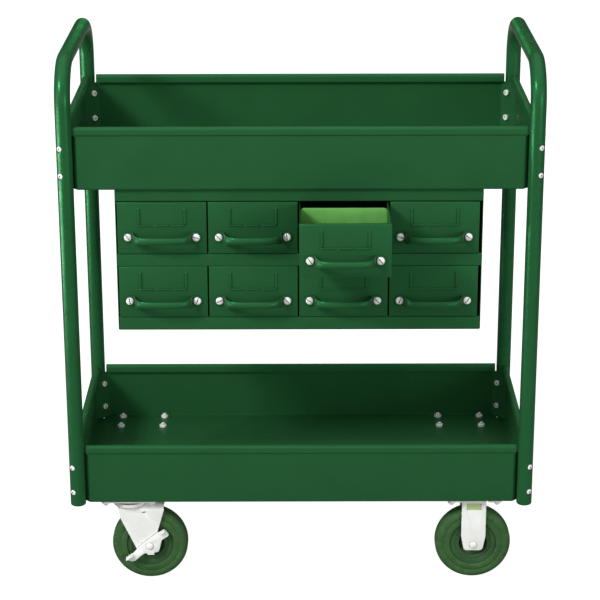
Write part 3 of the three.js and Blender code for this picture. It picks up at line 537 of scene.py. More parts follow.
class Finish:
    """One procedural material, built up from noise on the piece's own coordinates."""

    def __init__(self, name, base):
        self.material = bpy.data.materials.new(name)
        self.material.use_nodes = True
        self.tree = self.material.node_tree
        self.place = add_node(self.tree, "ShaderNodeTexCoord").outputs["Object"]
        self.base = tuple(base)

    def noise(self, scale, detail, stretch=(1, 1, 1)):
        place = add_node(self.tree, "ShaderNodeMapping", {"Vector": self.place, "Scale": stretch}).outputs[0]
        sockets = {"Vector": place, "Scale": scale, "Detail": detail}
        return add_node(self.tree, "ShaderNodeTexNoise", sockets).outputs["Fac"]

    def spread(self, value, low, high, start=0.35, end=0.65):
        return ramp(self.tree, value, start, end, low, high)

    def mix(self, share, first, second):
        sockets = {"Factor": share, "A": first, "B": second}
        return add_node(self.tree, "ShaderNodeMix", sockets, data_type="RGBA").outputs["Result"]

    def shade(self, factor, lift=0):
        return (*(min(c * factor + lift, 1) for c in self.base), 1)

    def paint_shade_in_hollows(self, tone, distance, dark):
        """Painted shade: darkens the tone where faces stand close together, in creases, slots and corners."""
        # Painted shade: ambient occlusion mixes the tone towards a darker copy of the base.
        near = add_node(self.tree, "ShaderNodeAmbientOcclusion", {"Distance": distance}, samples=8)
        return self.mix(self.spread(near.outputs["AO"], 0, 1, 0.3, 0.9), self.shade(dark), tone)

    def bump(self, height, strength, distance):
        sockets = {"Height": height, "Strength": strength, "Distance": distance}
        return add_node(self.tree, "ShaderNodeBump", sockets).outputs["Normal"]

    def connect(self, tone, gloss, relief, **more):
        sockets = {"Base Color": tone, "Roughness": gloss, "Normal": relief}
        sockets.update({key.replace("_", " "): value for key, value in more.items()})
        fill_in(self.tree, self.tree.nodes["Principled BSDF"], sockets)
        return self.material


def powder_coat(name, base, roughness, shine):
    """Paint with a fine orange peel, slow shifts of tone, thin rubbed patches, and painted shade where faces
    stand close.
    """
    made = Finish(name, base)
    tone = made.mix(made.spread(made.noise(9, 2), 0, 1), made.shade(0.97), made.shade(1.03))
    rubs = made.spread(made.noise(46, 6, (1, 1, 0.35)), 0, 0.3, 0.68, 0.78)
    # Painted shade: the tone darkens to half its own where faces stand within 3 mm.
    tone = made.paint_shade_in_hollows(made.mix(rubs, tone, made.shade(1.3)), 0.003, 0.5)
    gloss = made.spread(made.noise(24, 3), roughness - 0.05, roughness + 0.07)
    peel = made.bump(made.noise(650, 2), 0.16, 0.0003)
    return made.connect(tone, gloss, peel, Specular_Tint=(*shine, 1))


def zinc_plate(name, base, roughness, metallic, grain=(1, 1, 1)):
    """Bright zinc with clouded patches, fine grain, hair scratches, and painted shade where faces stand
    close.
    """
    made = Finish(name, base)
    cloud = made.spread(made.noise(60, 5), 0, 1)
    tone = made.mix(cloud, made.shade(0.96), made.shade(1.03))
    spots = made.spread(made.noise(420, 3), 0, 0.6, 0.62, 0.75)
    # Painted shade: the tone falls to a tenth where faces stand within 2 mm, in slots, gaps and corners.
    tone = made.paint_shade_in_hollows(made.mix(spots, tone, made.shade(0.86)), 0.002, 0.1)
    gloss = made.spread(made.noise(90, 4), roughness - 0.07, roughness + 0.1)
    grit = made.bump(made.noise(900, 2, grain), 0.12, 0.0002)
    return made.connect(tone, gloss, grit, Metallic=metallic)


def moulded(name, base, roughness, dust, grain):
    """Moulded tread, core or plug: matt, a little mottled, dusty in patches."""
    made = Finish(name, base)
    tone = made.mix(made.spread(made.noise(35, 5), 0, 1), made.shade(0.86), made.shade(1.1))
    film = made.spread(made.noise(120, 6), 0, dust, 0.5, 0.8)
    tone = made.mix(film, tone, made.shade(2, 0.02))
    gloss = made.spread(made.noise(80, 3), roughness - 0.08, roughness + 0.06)
    skin = made.bump(made.noise(grain, 3), 0.25, 0.0003)
    return made.connect(tone, gloss, skin, Specular_Tint=(0.4, 0.7, 0.4, 1))


# Steps


class Step:
    """What the operators share: each does its work in its own model function."""

    def execute(self, context):
        self.model(context.scene)
        return {"FINISHED"}


class CART_OT_finishes(Step, bpy.types.Operator):
    """Makes the finishes and puts them on the frame's own nodes"""

    bl_idname = "cart.finishes"
    bl_label = "Finishes"

    def model(self, scene):
        tones = scene.cart_colours
        FINISHES["sheet_paint"] = powder_coat("sheet_powder_coat", tones.sheet, 0.4, tones.shine)
        FINISHES["tube_paint"] = powder_coat("tube_powder_coat", tones.tube, 0.27, tones.shine)
        FINISHES["zinc"] = zinc_plate("zinc_plate", tones.zinc, 0.38, 0)
        # The pocket finish is zinc in painted shade, darker and greener than the plain zinc.
        FINISHES["pocket"] = zinc_plate("zinc_pocket", tones.pocket, 0.4, 0.04)
        FINISHES["divider_zinc"] = zinc_plate("divider_zinc", tones.divider, 0.4, 0.3, (1, 1, 0.1))
        FINISHES["tyre"] = moulded("moulded_tread", tones.tyre, 0.72, 0.35, 500)
        FINISHES["core"] = moulded("moulded_core", tones.core, 0.62, 0.25, 700)
        FINISHES["plug"] = moulded("plug_plastic", tones.plug, 0.55, 0.1, 900)
        for part in frame["record"]["subparts"]:
            materials = frame["nodes"][part["node"]].data.materials
            materials.clear()
            materials.append(FINISHES[part["material_slot"]])


def leg_bolts(scene, corners=CORNERS):
    """Each bolt's name and number, its place on the leg's middle line, and the corner that its leg is at."""
    tubes = scene.cart_tube
    for tray, z in TRAY_Z.items():
        sink = tubes.bolt_sink if tray == "lower_tray" else 0
        for order, fall in ((1, tubes.bolt_high), (2, tubes.bolt_low)):
            for x, y in corners:
                name = f"{tray}_{'back' if y > 0 else 'front'}_{'right' if x > 0 else 'left'}"
                level = z + scene.cart_tray.height - fall - sink
                yield name, order, Vector((x * LEG_X, CART_Y + y * LEG_Y, level)), (x, y)


def bolt_way(scene, x, y):
    """The way the bolt heads of a leg face."""
    turn = scene.cart_tube.bolt_turn
    return Vector((x * math.sin(turn), y * math.cos(turn), 0))


class CART_OT_end_frames(Step, bpy.types.Operator):
    """Models the two bent tubes and the plugs in their ends"""

    bl_idname = "cart.end_frames"
    bl_label = "End frames"

    def model(self, scene):
        sizes = scene.cart_tube
        for side, sign in (("left", -1), ("right", 1)):
            node = f"{side}_frame"
            low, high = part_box(node)
            tube = self.tube(f"{node}_tube", sizes, sign * LEG_X, low.z, high.z - sizes.diameter / 2)
            seat = [(0, sizes.bolt_seat), (0.0056, sizes.bolt_seat), (0.0062, 0.016), (0, 0.016)]
            for y in (-1, 1):
                way = bolt_way(scene, sign, y)
                for _, _, place, _ in leg_bolts(scene, [(sign, y)]):
                    cut(tube, turned("seat", seat, way, 24, place))
            finish(tube, "cart", "tube_paint", node)
            for end, y in (("front", -LEG_Y), ("back", LEG_Y)):
                self.plug(f"leg_plug_{end}_{side}", sizes, (sign * LEG_X, CART_Y + y, 0), low.z - REST)

    def tube(self, name, sizes, x, foot, bar):
        """A circle drawn up one leg, spun round both bends and drawn down the other leg."""
        settle()
        bpy.ops.mesh.primitive_circle_add(vertices=48, radius=sizes.diameter / 2, location=ORIGIN)
        tube = rename(bpy.context.object, name)
        bpy.ops.object.mode_set(mode="EDIT")
        bpy.ops.mesh.select_all(action="SELECT")
        bpy.ops.transform.translate(value=(x, CART_Y - LEG_Y, foot))
        rise = UP * (bar - sizes.bend - foot)
        flat = LEG_Y - sizes.bend
        extrude(rise)
        for y in (-flat, flat):
            centre = (x, CART_Y + y, bar - sizes.bend)
            bpy.ops.mesh.spin(steps=14, angle=QUARTER, center=centre, axis=ALONG)
            extrude(ACROSS * 2 * flat if y < 0 else -rise)
        face_out()
        return modify(tube, "SOLIDIFY", thickness=sizes.wall, offset=-1)

    def plug(self, node, sizes, place, rim):
        """A cap over the end of the tube, with a stem inside it."""
        foot, top = (corner.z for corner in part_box(node))
        stem = sizes.diameter / 2 - sizes.wall - 0.0007
        flange, edge = sizes.diameter / 2 - 0.0004, 0.0009
        profile = [(0, foot)]
        for a in (0, 0.4, 0.8, 1.2, QUARTER):
            profile.append((flange - edge + edge * math.sin(a), foot + edge - edge * math.cos(a)))
        profile += [(flange, rim), (stem, rim), (stem, top - 0.002), (stem - MM, top), (0, top)]
        finish(turned(f"{node}_cap", profile, UP, 32, place), "cart", "plug", node)


def wall_reach(trays):
    """How far the walls of a tray stand from its middle, along and across the cart."""
    return trays.length / 2 - trays.joggle, trays.width / 2 - trays.joggle


class CART_OT_trays(Step, bpy.types.Operator):
    """Models the folded trays with their rolled hems"""

    bl_idname = "cart.trays"
    bl_label = "Trays"

    def model(self, scene):
        first = join("upper_tray_sheet", self.pan(scene.cart_tray), *self.hems(scene))
        second = copy_of(first, "lower_tray_sheet", UP * TRAY_Z["lower_tray"])
        work_on(first)
        first.location.z = TRAY_Z["upper_tray"]
        apply_place()
        finish(first, "cart", "sheet_paint", "upper_tray")
        finish(second, "cart", "sheet_paint", "lower_tray")

    def pan(self, sizes):
        """Walls and floor: a block without its top, its corners cut at 45 degrees and all folds rounded."""
        half_x, half_y = wall_reach(sizes)
        top = sizes.height - sizes.joggle_low

        def upright(edge):
            return abs(edge.verts[0].co.z - edge.verts[1].co.z) > top / 2

        pan = block("tray_pan", (-half_x, CART_Y - half_y, 0), (half_x, CART_Y + half_y, top))
        bpy.ops.object.mode_set(mode="EDIT")
        select(pan, "faces", lambda face: face.normal.z > 0.9)
        bpy.ops.mesh.delete(type="FACE")
        for test, offset, segments in (
            (upright, sizes.corner_cut, 1),
            (upright, 0.0021, 4),
            (lambda edge: all(v.co.z < MM for v in edge.verts), sizes.floor_bend, 4),
        ):
            select(pan, "edges", test)
            bpy.ops.mesh.bevel(offset=offset, segments=segments)
        face_out()
        modify(pan, "SOLIDIFY", thickness=sizes.sheet, offset=-1, use_even_offset=True)
        inset, slot = sizes.corner_cut / 2, in_mm(rounded_box((-3.2, -1.6), (3.2, 1.6), [1.55] * 4))
        for x, y in CORNERS:
            strip = Vector((x * (half_x - inset), CART_Y + y * (half_y - inset), 0))
            across, inward = Vector((1, -x * y, 0)).normalized(), Vector((-x, -y, 0)).normalized()
            place = strip + inward * 0.0046 - UP * 0.003
            cut(pan, plate("relief", slot, place, across, inward, UP * 0.008))
        return pan

    def hems(self, scene):
        """Four hems: each joggles out from its wall, rolls over and comes down inside as a free lip."""
        sizes = scene.cart_tray
        half, roll = sizes.sheet / 2, sizes.hem / 2
        wall = sizes.joggle + half
        line = [(wall, -0.016), (wall, -sizes.joggle_low), (half, -sizes.joggle_high)]
        line = rounded(line, [0, MM, 0], steps=3) + arc(roll, -roll, roll - half, math.pi, 0, 14)
        line.append((sizes.hem - half, -sizes.hem_lip))
        made = []
        for inward, reach, along, leg in (
            (ACROSS, sizes.width / 2, ALONG, LEG_X),
            (-ACROSS, sizes.width / 2, ALONG, LEG_X),
            (ALONG, sizes.length / 2, ACROSS, LEG_Y),
            (-ALONG, sizes.length / 2, ACROSS, LEG_Y),
        ):
            span = leg - scene.cart_tube.diameter / 2 - sizes.hem_gap
            place = Vector((0, CART_Y, sizes.height)) - inward * reach - along * span
            hem = folded("hem", line, place, inward, UP, along * 2 * span, sizes.sheet * 0.93)
            made.append(ease(hem, 0.0003, 1))
        return made


class CART_OT_cabinet(Step, bpy.types.Operator):
    """Models the cabinet's shell, shelves and partitions"""

    bl_idname = "cart.cabinet"
    bl_label = "Cabinet"

    def model(self, scene):
        sizes = scene.cart_cabinet
        self.shell(sizes, sizes.sheet, sizes.sheet / 2)
        for node in ("cabinet_middle_shelf", "cabinet_bottom_shelf"):
            self.shelf(node, sizes, sizes.sheet / 2)
        for node in PARTITIONS:
            wall = ease(block(f"{node}_sheet", *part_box(node)), 0.00035)
            finish(wall, "cart", "sheet_paint", node)

    def shell(self, sizes, sheet, inset):
        """A wrap of four walls, the back, and the rail over the drawers."""
        low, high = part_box("cabinet_shell")
        half_x, half_z, mid = (high.x - low.x) / 2, (high.z - low.z) / 2, (low + high) / 2
        corner = (half_x - inset, half_z - inset)
        loop = rounded_box((inset - half_x, inset - half_z), corner, [sizes.bend] * 4, steps=4)
        front, rear = Vector((mid.x, low.y, mid.z)), Vector((mid.x, high.y - sheet, mid.z))
        wrap = folded("wrap", loop + loop[:1], front, ALONG, UP, ACROSS * (high.y - low.y), sheet)
        back = ease(plate("back", loop, rear, ALONG, UP, ACROSS * sheet), 0.0004, 1)
        foot = inset - sizes.rail
        line = rounded([(inset, -inset), (inset, foot), (sizes.lip, foot)], [0, 0.0016, 0])
        start = (low.x + sheet, low.y, high.z)
        rail = folded("rail", line, start, ACROSS, UP, ALONG * 2 * (half_x - sheet), sheet)
        shell = ease(join("cabinet_shell_sheet", wrap, back, rail), 0.0003, 1, 60)
        finish(shell, "cart", "sheet_paint", "cabinet_shell")

    def shelf(self, node, sizes, inset):
        """A channel with its edges turned down, the middle one slotted for the partitions."""
        low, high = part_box(node)
        depth, fall = high.y - low.y, low.z - high.z
        line = [(inset, fall), (inset, -inset), (depth - inset, -inset), (depth - inset, fall)]
        line = rounded(line, [0, sizes.bend, sizes.bend, 0], steps=5)
        start, run = (low.x, low.y, high.z), ALONG * (high.x - low.x)
        made = folded(f"{node}_sheet", line, start, ACROSS, UP, run, sizes.sheet)
        if node == "cabinet_middle_shelf":
            gap = Vector((REST, REST, 0))
            for wall in PARTITIONS:
                near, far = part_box(wall)
                near = Vector((near.x, near.y, high.z - 0.01)) - gap
                far = Vector((far.x, high.y - 0.0025, high.z + 0.01)) + gap
                cut(made, block("slot", near, far))
        finish(ease(made, 0.0003, 1, 60), "cart", "sheet_paint", node)


def drawers():
    """Each drawer's name and the middle of the foot of its front's face."""
    for row in ("top", "bottom"):
        for i in range(1, 5):
            low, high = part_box(f"drawer_{row}_{i}")
            yield f"drawer_{row}_{i}", Vector(((low.x + high.x) / 2, low.y + PROUD, low.z))


class CART_OT_drawers(Step, bpy.types.Operator):
    """Models the drawers with their card holders and dividers"""

    bl_idname = "cart.drawers"
    bl_label = "Drawers"

    def model(self, scene):
        sizes = scene.cart_drawer
        name, place = next(drawers())
        low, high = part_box(name)
        width, height, depth = high.x - low.x, high.z - low.z, high.y - low.y - PROUD
        body = join("drawer_body", *self.front(sizes, width, height), *self.box(sizes, width, height, depth))
        low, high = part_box(f"{name}_divider")
        half, radii = (high.x - low.x) / 2, [0.002, 0.002, 0.006, 0.006]
        line = rounded_box((-half, low.z - place.z), (half, high.z - place.z), radii)
        sheet = plate("divider", line, ORIGIN, ALONG, UP, ACROSS * (high.y - low.y))
        ease(sheet, 0.0002, 2, 60)
        for name, place in drawers():
            divider = f"{name}_divider"
            put(body, f"{name}_body", place, name, "sheet_paint", name)
            place.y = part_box(divider)[0].y
            put(sheet, f"{divider}_sheet", place, name, "divider_zinc", divider)
        drop(body, sheet)

    def front(self, sizes, width, height):
        """The front panel with its top folded back, and the lanced tabs of the card holder."""
        half, edge, tall = sizes.sheet / 2, height - sizes.sheet / 2, sizes.holder_height / 2
        line = rounded([(half, 0.0001), (half, edge), (sizes.fold, edge)], [0, 0.0013, 0], steps=5)
        made = [folded("front", line, (-width / 2, 0, 0), ACROSS, UP, ALONG * width, sizes.sheet)]
        tab = rounded(mirrored([(-tall, 0.0002), (PROUD - tall, -0.0009)]), [0, MM, MM, 0], steps=3)
        centre = height - sizes.holder_top - tall
        for x in (-sizes.holder_width / 2, sizes.holder_width / 2):
            made.append(folded("tab", tab, (x - 0.002, 0, centre), UP, ACROSS, ALONG * 0.004, 0.0009))
        lug = [(x * 0.0115 / tall, y) for x, y in tab]
        for x in (-0.027, 0, 0.027):
            place = (x, 0, centre - tall - 0.0029)
            made.append(folded("lug", lug, place, ALONG, ACROSS, UP * 0.003, 0.0009))
        return [ease(piece, 0.00035, 2, 60) for piece in made]

    def box(self, sizes, width, height, depth):
        """Sides and floor in one fold, and a back plate."""
        sheet, half = sizes.box_sheet, sizes.box_sheet / 2
        outer, top = width / 2 - sizes.box_gap, height - sizes.box_drop
        line = rounded(mirrored([(half - outer, top), (half - outer, half)]), [0, 0.0018, 0.0018, 0], steps=5)
        start, run = ACROSS * sizes.sheet, ACROSS * (depth - sizes.sheet)
        trough = folded("trough", line, start, ALONG, UP, run, sheet)
        line = rounded_box((-outer, 0), (outer, top), [0.002, 0.002, MM, MM])
        back = plate("back", line, ACROSS * (depth - sheet), ALONG, UP, ACROSS * sheet)
        return [ease(piece, 0.0003, 2, 60) for piece in (trough, back)]


class CART_OT_pulls(Step, bpy.types.Operator):
    """Models the strap pulls and their screws"""

    bl_idname = "cart.pulls"
    bl_label = "Pulls"

    def model(self, scene):
        sizes = scene.cart_drawer
        pull, screw = self.strap(sizes), self.screw(sizes)
        turns = (0.95, 0.8, 2.2, 0.3, 1.4, 2.8, 0.6, 1.9)
        for i, (name, place) in enumerate(drawers()):
            place += Vector((0, -REST, sizes.pull_height))
            put(pull, f"{name}_pull_strap", place, name, "sheet_paint", f"{name}_pull")
            for k, sign in enumerate((-1, 1)):
                turn = 0.9 if name == "drawer_top_3" else turns[(i + 3 * k) % len(turns)]
                spot = place + Vector((sign * sizes.pull_span / 2, -sizes.pull_sheet, 0))
                put(screw, f"{name}_screw_{k + 1}", spot, name, "zinc", turn=Matrix.Rotation(turn, 4, "Y"))
        drop(pull, screw)

    def strap(self, sizes):
        """A strap bowed in plan and cut to an outline that widens to a round tab at each screw."""
        flat, reach = -sizes.pull_sheet / 2, sizes.pull_reach - sizes.pull_sheet
        end, foot, bend = sizes.pull_span / 2 + 0.0082, sizes.pull_span / 2 - 0.0084, 0.0025
        half = [(-end, flat)] + arc(-foot - bend, flat - bend, bend, QUARTER, 0, 6)
        for a in (QUARTER * i / 24 for i in range(1, 24)):
            x, y = foot * math.cos(a) ** sizes.pull_power, reach * math.sin(a) ** sizes.pull_power
            half.append((-x, flat - y))
        tab, strap = sizes.pull_tab / 2, sizes.pull_strap / 2
        shares = (-tab / strap, -1, -0.8, -0.6, -0.3, 0, 0.3, 0.6, 0.8, 1, tab / strap)
        levels = [strap * share for share in shares]
        reaches = [1 - sizes.pull_crown * min(abs(level / strap), 1.1) ** 2 for level in levels]
        line = [(x, flat + (y - flat) * reaches[0]) for x, y in mirrored(half, (0, flat - reach))]
        made = draw("strap", on_plane(line, UP * levels[0], ALONG, ACROSS))
        bpy.ops.mesh.select_all(action="SELECT")
        for i in range(1, len(levels)):
            extrude(UP * (levels[i] - levels[i - 1]))
            bpy.ops.transform.resize(value=(1, reaches[i] / reaches[i - 1], 1), center_override=(0, flat, 0))
        thicken(made, sizes.pull_sheet)
        side = [(foot + MM, tab), (foot - 0.0015, tab * 0.94)]
        side += [(foot - 0.005, strap * 1.18), (foot - 0.009, strap)]
        outline = arc(end - tab, 0, tab, -QUARTER, QUARTER, 16) + mirrored(side)
        outline += [(-x, -y) for x, y in outline]
        return ease(trim(made, outline), 0.00045, 3)

    def screw(self, sizes):
        """A round head with a driver slot."""
        radius, height, edge = sizes.screw_head / 2, 0.0031, 0.0006
        line = [(0, 0), (radius, 0)] + dome(radius, -edge, edge - height, 8, 8, 0.6) + [(0, -height)]
        slot = block("slot", (-radius - MM, -height - MM, -0.0008), (radius + MM, -height + 0.0024, 0.0008))
        return ease(cut(turned("screw", line, ACROSS, 40), slot), 0.00012, 1)


class CART_OT_wheels(Step, bpy.types.Operator):
    """Models the tyres, cores and axles"""

    bl_idname = "cart.wheels"
    bl_label = "Wheels"

    def model(self, scene):
        sizes = scene.cart_caster
        tyre, core = self.tyre(sizes), self.core(sizes)
        for kind in ("rigid", "swivel"):
            for end in ENDS:
                for form, slot, word, corner in ((tyre, "tyre", "tread", 50), (core, "core", "moulding", 40)):
                    node, limit = f"{kind}_{slot}_{end}", math.radians(corner)
                    place = middle(f"{kind}_tyre_{end}")
                    put(form, f"{node}_{word}", place, f"{kind}_wheel_{end}", slot, node, angle=limit)
                self.axle(f"{kind}_axle_{end}", "cart" if kind == "rigid" else f"swivel_fork_{end}")
        drop(tyre, core)

    def tyre(self, sizes):
        """Rounded tread with a moulding line and a fine ring on each side."""
        half, radius, round_off, inner = sizes.tyre / 2, sizes.wheel, sizes.shoulder, sizes.core + REST
        line = [(inner, half - MM), (inner + 0.0005, half - 0.0003), (inner + 0.0018, half)]
        line += [(0.0488, half), (0.0494, half - 0.0005), (0.05, half)]
        line += arc(radius - round_off, half - round_off, round_off, QUARTER, 0, 12)
        line += [(radius - 0.00025, 0.0012), (radius, 0.0007)]
        return turned("tyre", mirrored(line, x=1, y=-1), ACROSS, 128, closed=True)

    def core(self, sizes):
        """Recessed web with rings round a raised hub."""
        hub, web = sizes.tyre / 2 + 0.0016, sizes.tyre / 2 - 0.0026
        ring, well = web - 0.0008, web - 0.006
        line = [(0.0052, hub), (0.012, hub), (0.013, hub - MM), (0.013, well + 0.0006), (0.0136, well)]
        line += [(0.0215, well), (0.0222, well + 0.0005), (0.0232, ring), (0.024, web), (0.0279, web)]
        line += [(0.0286, ring), (0.0305, ring), (0.0312, web)]
        line += [(sizes.core - 0.0004, web), (sizes.core, web - 0.0004)]
        return turned("core", mirrored(line, (sizes.core, 0), x=1, y=-1), ACROSS, 96, closed=True)

    def axle(self, node, body):
        """A bolt with a domed head and a washer at the front and a nut at the back."""
        low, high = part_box(node)
        place, reach = (low + high) / 2, (high.y - low.y) / 2
        face = ACROSS * (reach - 0.003)
        parts = [turned("shank", rod(0.0046, MM - reach, reach - MM), ACROSS, 32, place)]
        for sign in (-1, 1):
            parts.append(turned("washer", rod(0.0063, 0, 0.0006 * sign), ACROSS, 40, place + face * sign))
        line = [(0, 0), (0.0058, 0)] + dome(0.0058, -MM, -0.0019, 8, 8) + [(0, -0.0029)]
        parts.append(turned("head", line, ACROSS, 48, place - face))
        parts.append(hexagon("nut", ACROSS, 0.0054, 0.0028, place + face))
        finish(ease(join(f"{node}_bolt", *parts), 0.00015), body, "zinc", node)


def hexagon(name, axis, across, height, face=ORIGIN):
    """A hexagonal head or nut with its corners turned off."""
    side = UP if axis.cross(UP).length > MM else ALONG
    corner = across / math.cos(math.pi / 6)
    outline = arc(0, 0, corner, 0, 2 * math.pi, 6)[:-1]
    nut = plate(name, outline, face, side, axis.cross(side), axis * height)
    cone = [(0, -MM), (corner + MM, -MM), (corner + MM, 0), (corner, height * 0.72), (across * 0.92, height)]
    return cut(nut, turned("cone", cone + [(0, height)], axis, 36, face), "INTERSECT")


def mounting_plate(sizes, foot):
    """A plate with round corners and four bolt holes."""
    a, b = sizes.plate_x / 2, sizes.plate_y / 2
    made = plate("base", rounded_box((-a, -b), (a, b), [0.007] * 4), UP * foot, ALONG, ACROSS, UP * sizes.leg)
    for x, y in CORNERS:
        spot = (x * sizes.bolt_x / 2, y * sizes.bolt_y / 2, foot)
        cut(made, turned("hole", rod(0.0043, -MM, sizes.leg + MM), UP, 24, spot))
    return made


class CART_OT_rigid_casters(Step, bpy.types.Operator):
    """Models the brackets of the rigid casters"""

    bl_idname = "cart.rigid_casters"
    bl_label = "Rigid casters"

    def model(self, scene):
        sizes = scene.cart_caster
        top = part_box("rigid_bracket_front")[1].z
        outer = sizes.tyre / 2 + sizes.side_gap + sizes.leg
        bracket = self.bracket(sizes, top, outer)
        # Thin sheets on the pocket floors, which carry the painted shade of the pocket finish.
        foot, line, sheet = outer - sizes.pocket, self.pocket(top, 0.0002), 0.0002
        faces = [plate("face", line, ACROSS * y * foot, ALONG, UP, ACROSS * y * sheet) for y in (-1, 1)]
        join("pocket_faces", *faces)
        for end in ENDS:
            node = f"rigid_bracket_{end}"
            put(bracket, f"{node}_stamping", under(node), "cart", "zinc", node)
            # Painted shade: the sheets in the pockets take the darker, greener pocket finish.
            put(faces[0], f"{node}_pockets", under(node), "cart", "zinc", look="pocket")
        drop(bracket, faces[0])

    def pocket(self, top, margin=0):
        """The outline of the shallow pocket in the head of each leg."""
        half, low, high = 0.012 - margin, top - 0.0227 + margin, top - 0.0107 - margin
        return rounded_box((-half, low), (half, high), [0.0015 - margin] * 4)

    def bracket(self, sizes, top, outer):
        """Two tapered legs folded down from one sheet, and the plate that they hang from."""
        side, foot = outer - sizes.leg / 2, sizes.wheel - 0.0102
        line = mirrored([(-side, foot), (-side, top - sizes.leg / 2)])
        line = rounded(line, [0, 0.0046, 0.0046, 0], steps=8)
        legs = folded("legs", line, ALONG * -0.021, ACROSS, UP, ALONG * 0.042, sizes.leg)
        line = mirrored([(-0.02035, top + MM), (-0.02035, sizes.wheel + 0.0153), (-0.0155, foot)])
        trim(legs, rounded(line, [0, 0.012, 0.006, 0.006, 0.012, 0], closed=True))
        base = mounting_plate(sizes, top - sizes.leg)
        for y in (-1, 1):
            place = ACROSS * y * (outer - sizes.pocket)
            cut(legs, plate("pocket", self.pocket(top), place, ALONG, UP, ACROSS * y * 0.02))
            near, far = sorted((y * (side - 0.004), y * 0.05))
            cut(base, block("notch", (-0.0223, near, top - 0.01), (0.0223, far, top + 0.01)))
        return join("bracket", ease(legs, 0.0005), ease(base, 0.0004))


class CART_OT_swivel_casters(Step, bpy.types.Operator):
    """Models the swivel plates, kingpins and forks"""

    bl_idname = "cart.swivel_casters"
    bl_label = "Swivel casters"

    def model(self, scene):
        sizes = scene.cart_caster
        base, fork = self.base(sizes), self.fork(sizes)
        for end in ENDS:
            place = under(f"swivel_plate_{end}")
            for form, node, body in ((base, "plate", "cart"), (fork, "fork", f"swivel_fork_{end}")):
                node = f"swivel_{node}_{end}"
                put(form, f"{node}_stamping", place, body, "zinc", node)
        drop(base, fork)

    def base(self, sizes):
        """The plate with the upper race under it."""
        low, high = (corner.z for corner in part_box("swivel_plate_front"))
        foot, lip, pin = high - sizes.leg, low + 0.0028, sizes.kingpin
        well = [(0, low - MM), (pin, low - MM), (pin, lip), (0.012, lip), (0.012, high + MM), (0, high + MM)]
        base = cut(mounting_plate(sizes, foot), turned("well", well, UP, 48))
        race = [(pin, low), (0.0235, low), (0.0245, low + 0.0008), (0.0268, foot - 0.0012), (0.0278, foot)]
        race += [(0.0278, foot + MM), (0.0125, foot + MM), (0.0125, lip), (pin, lip)]
        return join("swivel_base", ease(base, 0.0004), turned("race", race, UP, closed=True))

    def fork(self, sizes):
        """Two raked legs, and the cup in which the balls run."""
        crown, pin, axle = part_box("swivel_fork_front")[1].z, sizes.kingpin, sizes.trail
        floor, inner = crown - 0.008, sizes.tyre / 2 + sizes.side_gap
        top, side, toe = floor + 0.0032, inner + sizes.leg / 2, sizes.wheel - 0.0132
        line = mirrored([(-side, toe - MM), (-side, top - sizes.leg / 2)])
        line = rounded(line, [0, 0.0095, 0.0095, 0], steps=10)
        legs = folded("legs", line, ALONG * -0.04, ACROSS, UP, ALONG * 0.11, sizes.leg)
        line = [(-0.0285, top + MM), (-0.0205, top), (-0.0148, top - 0.024), (axle - 0.01885, toe)]
        line += [(axle + 0.01515, toe), (axle + 0.01275, sizes.wheel + 0.0238)]
        line += [(0.0575, top - 0.0095), (0.0575, top + MM)]
        trim(legs, rounded(line, [0, 0.004, 0.02, 0.008, 0.006, 0.03, 0.004, 0], closed=True))
        slot = in_mm(rounded_box((-3.2, -1.4), (3.2, 1.4), [1.35] * 4))
        cut(legs, plate("slot", slot, (0.0244, -inner - 0.01, floor - 0.0092), *slope(0.2), ACROSS * 0.012))
        cut(legs, turned("pin_hole", rod(pin, floor - MM, crown + MM), UP, 40))
        cup = [(pin, 0), (0.024, 0), (0.0268, 0.0006), (0.0281, 0.002), (0.0285, 0.0035), (0.0285, 0.0064)]
        cup += [(0.0281, 0.007), (0.026, 0.007), (0.0256, 0.0064), (0.0255, 0.0036), (0.0135, 0.0034)]
        cup += [(0.013, 0.0076), (0.0126, 0.008), (pin, 0.008)]
        return join("fork", ease(legs, 0.0005), turned("cup", cup, UP, 72, UP * floor, closed=True))


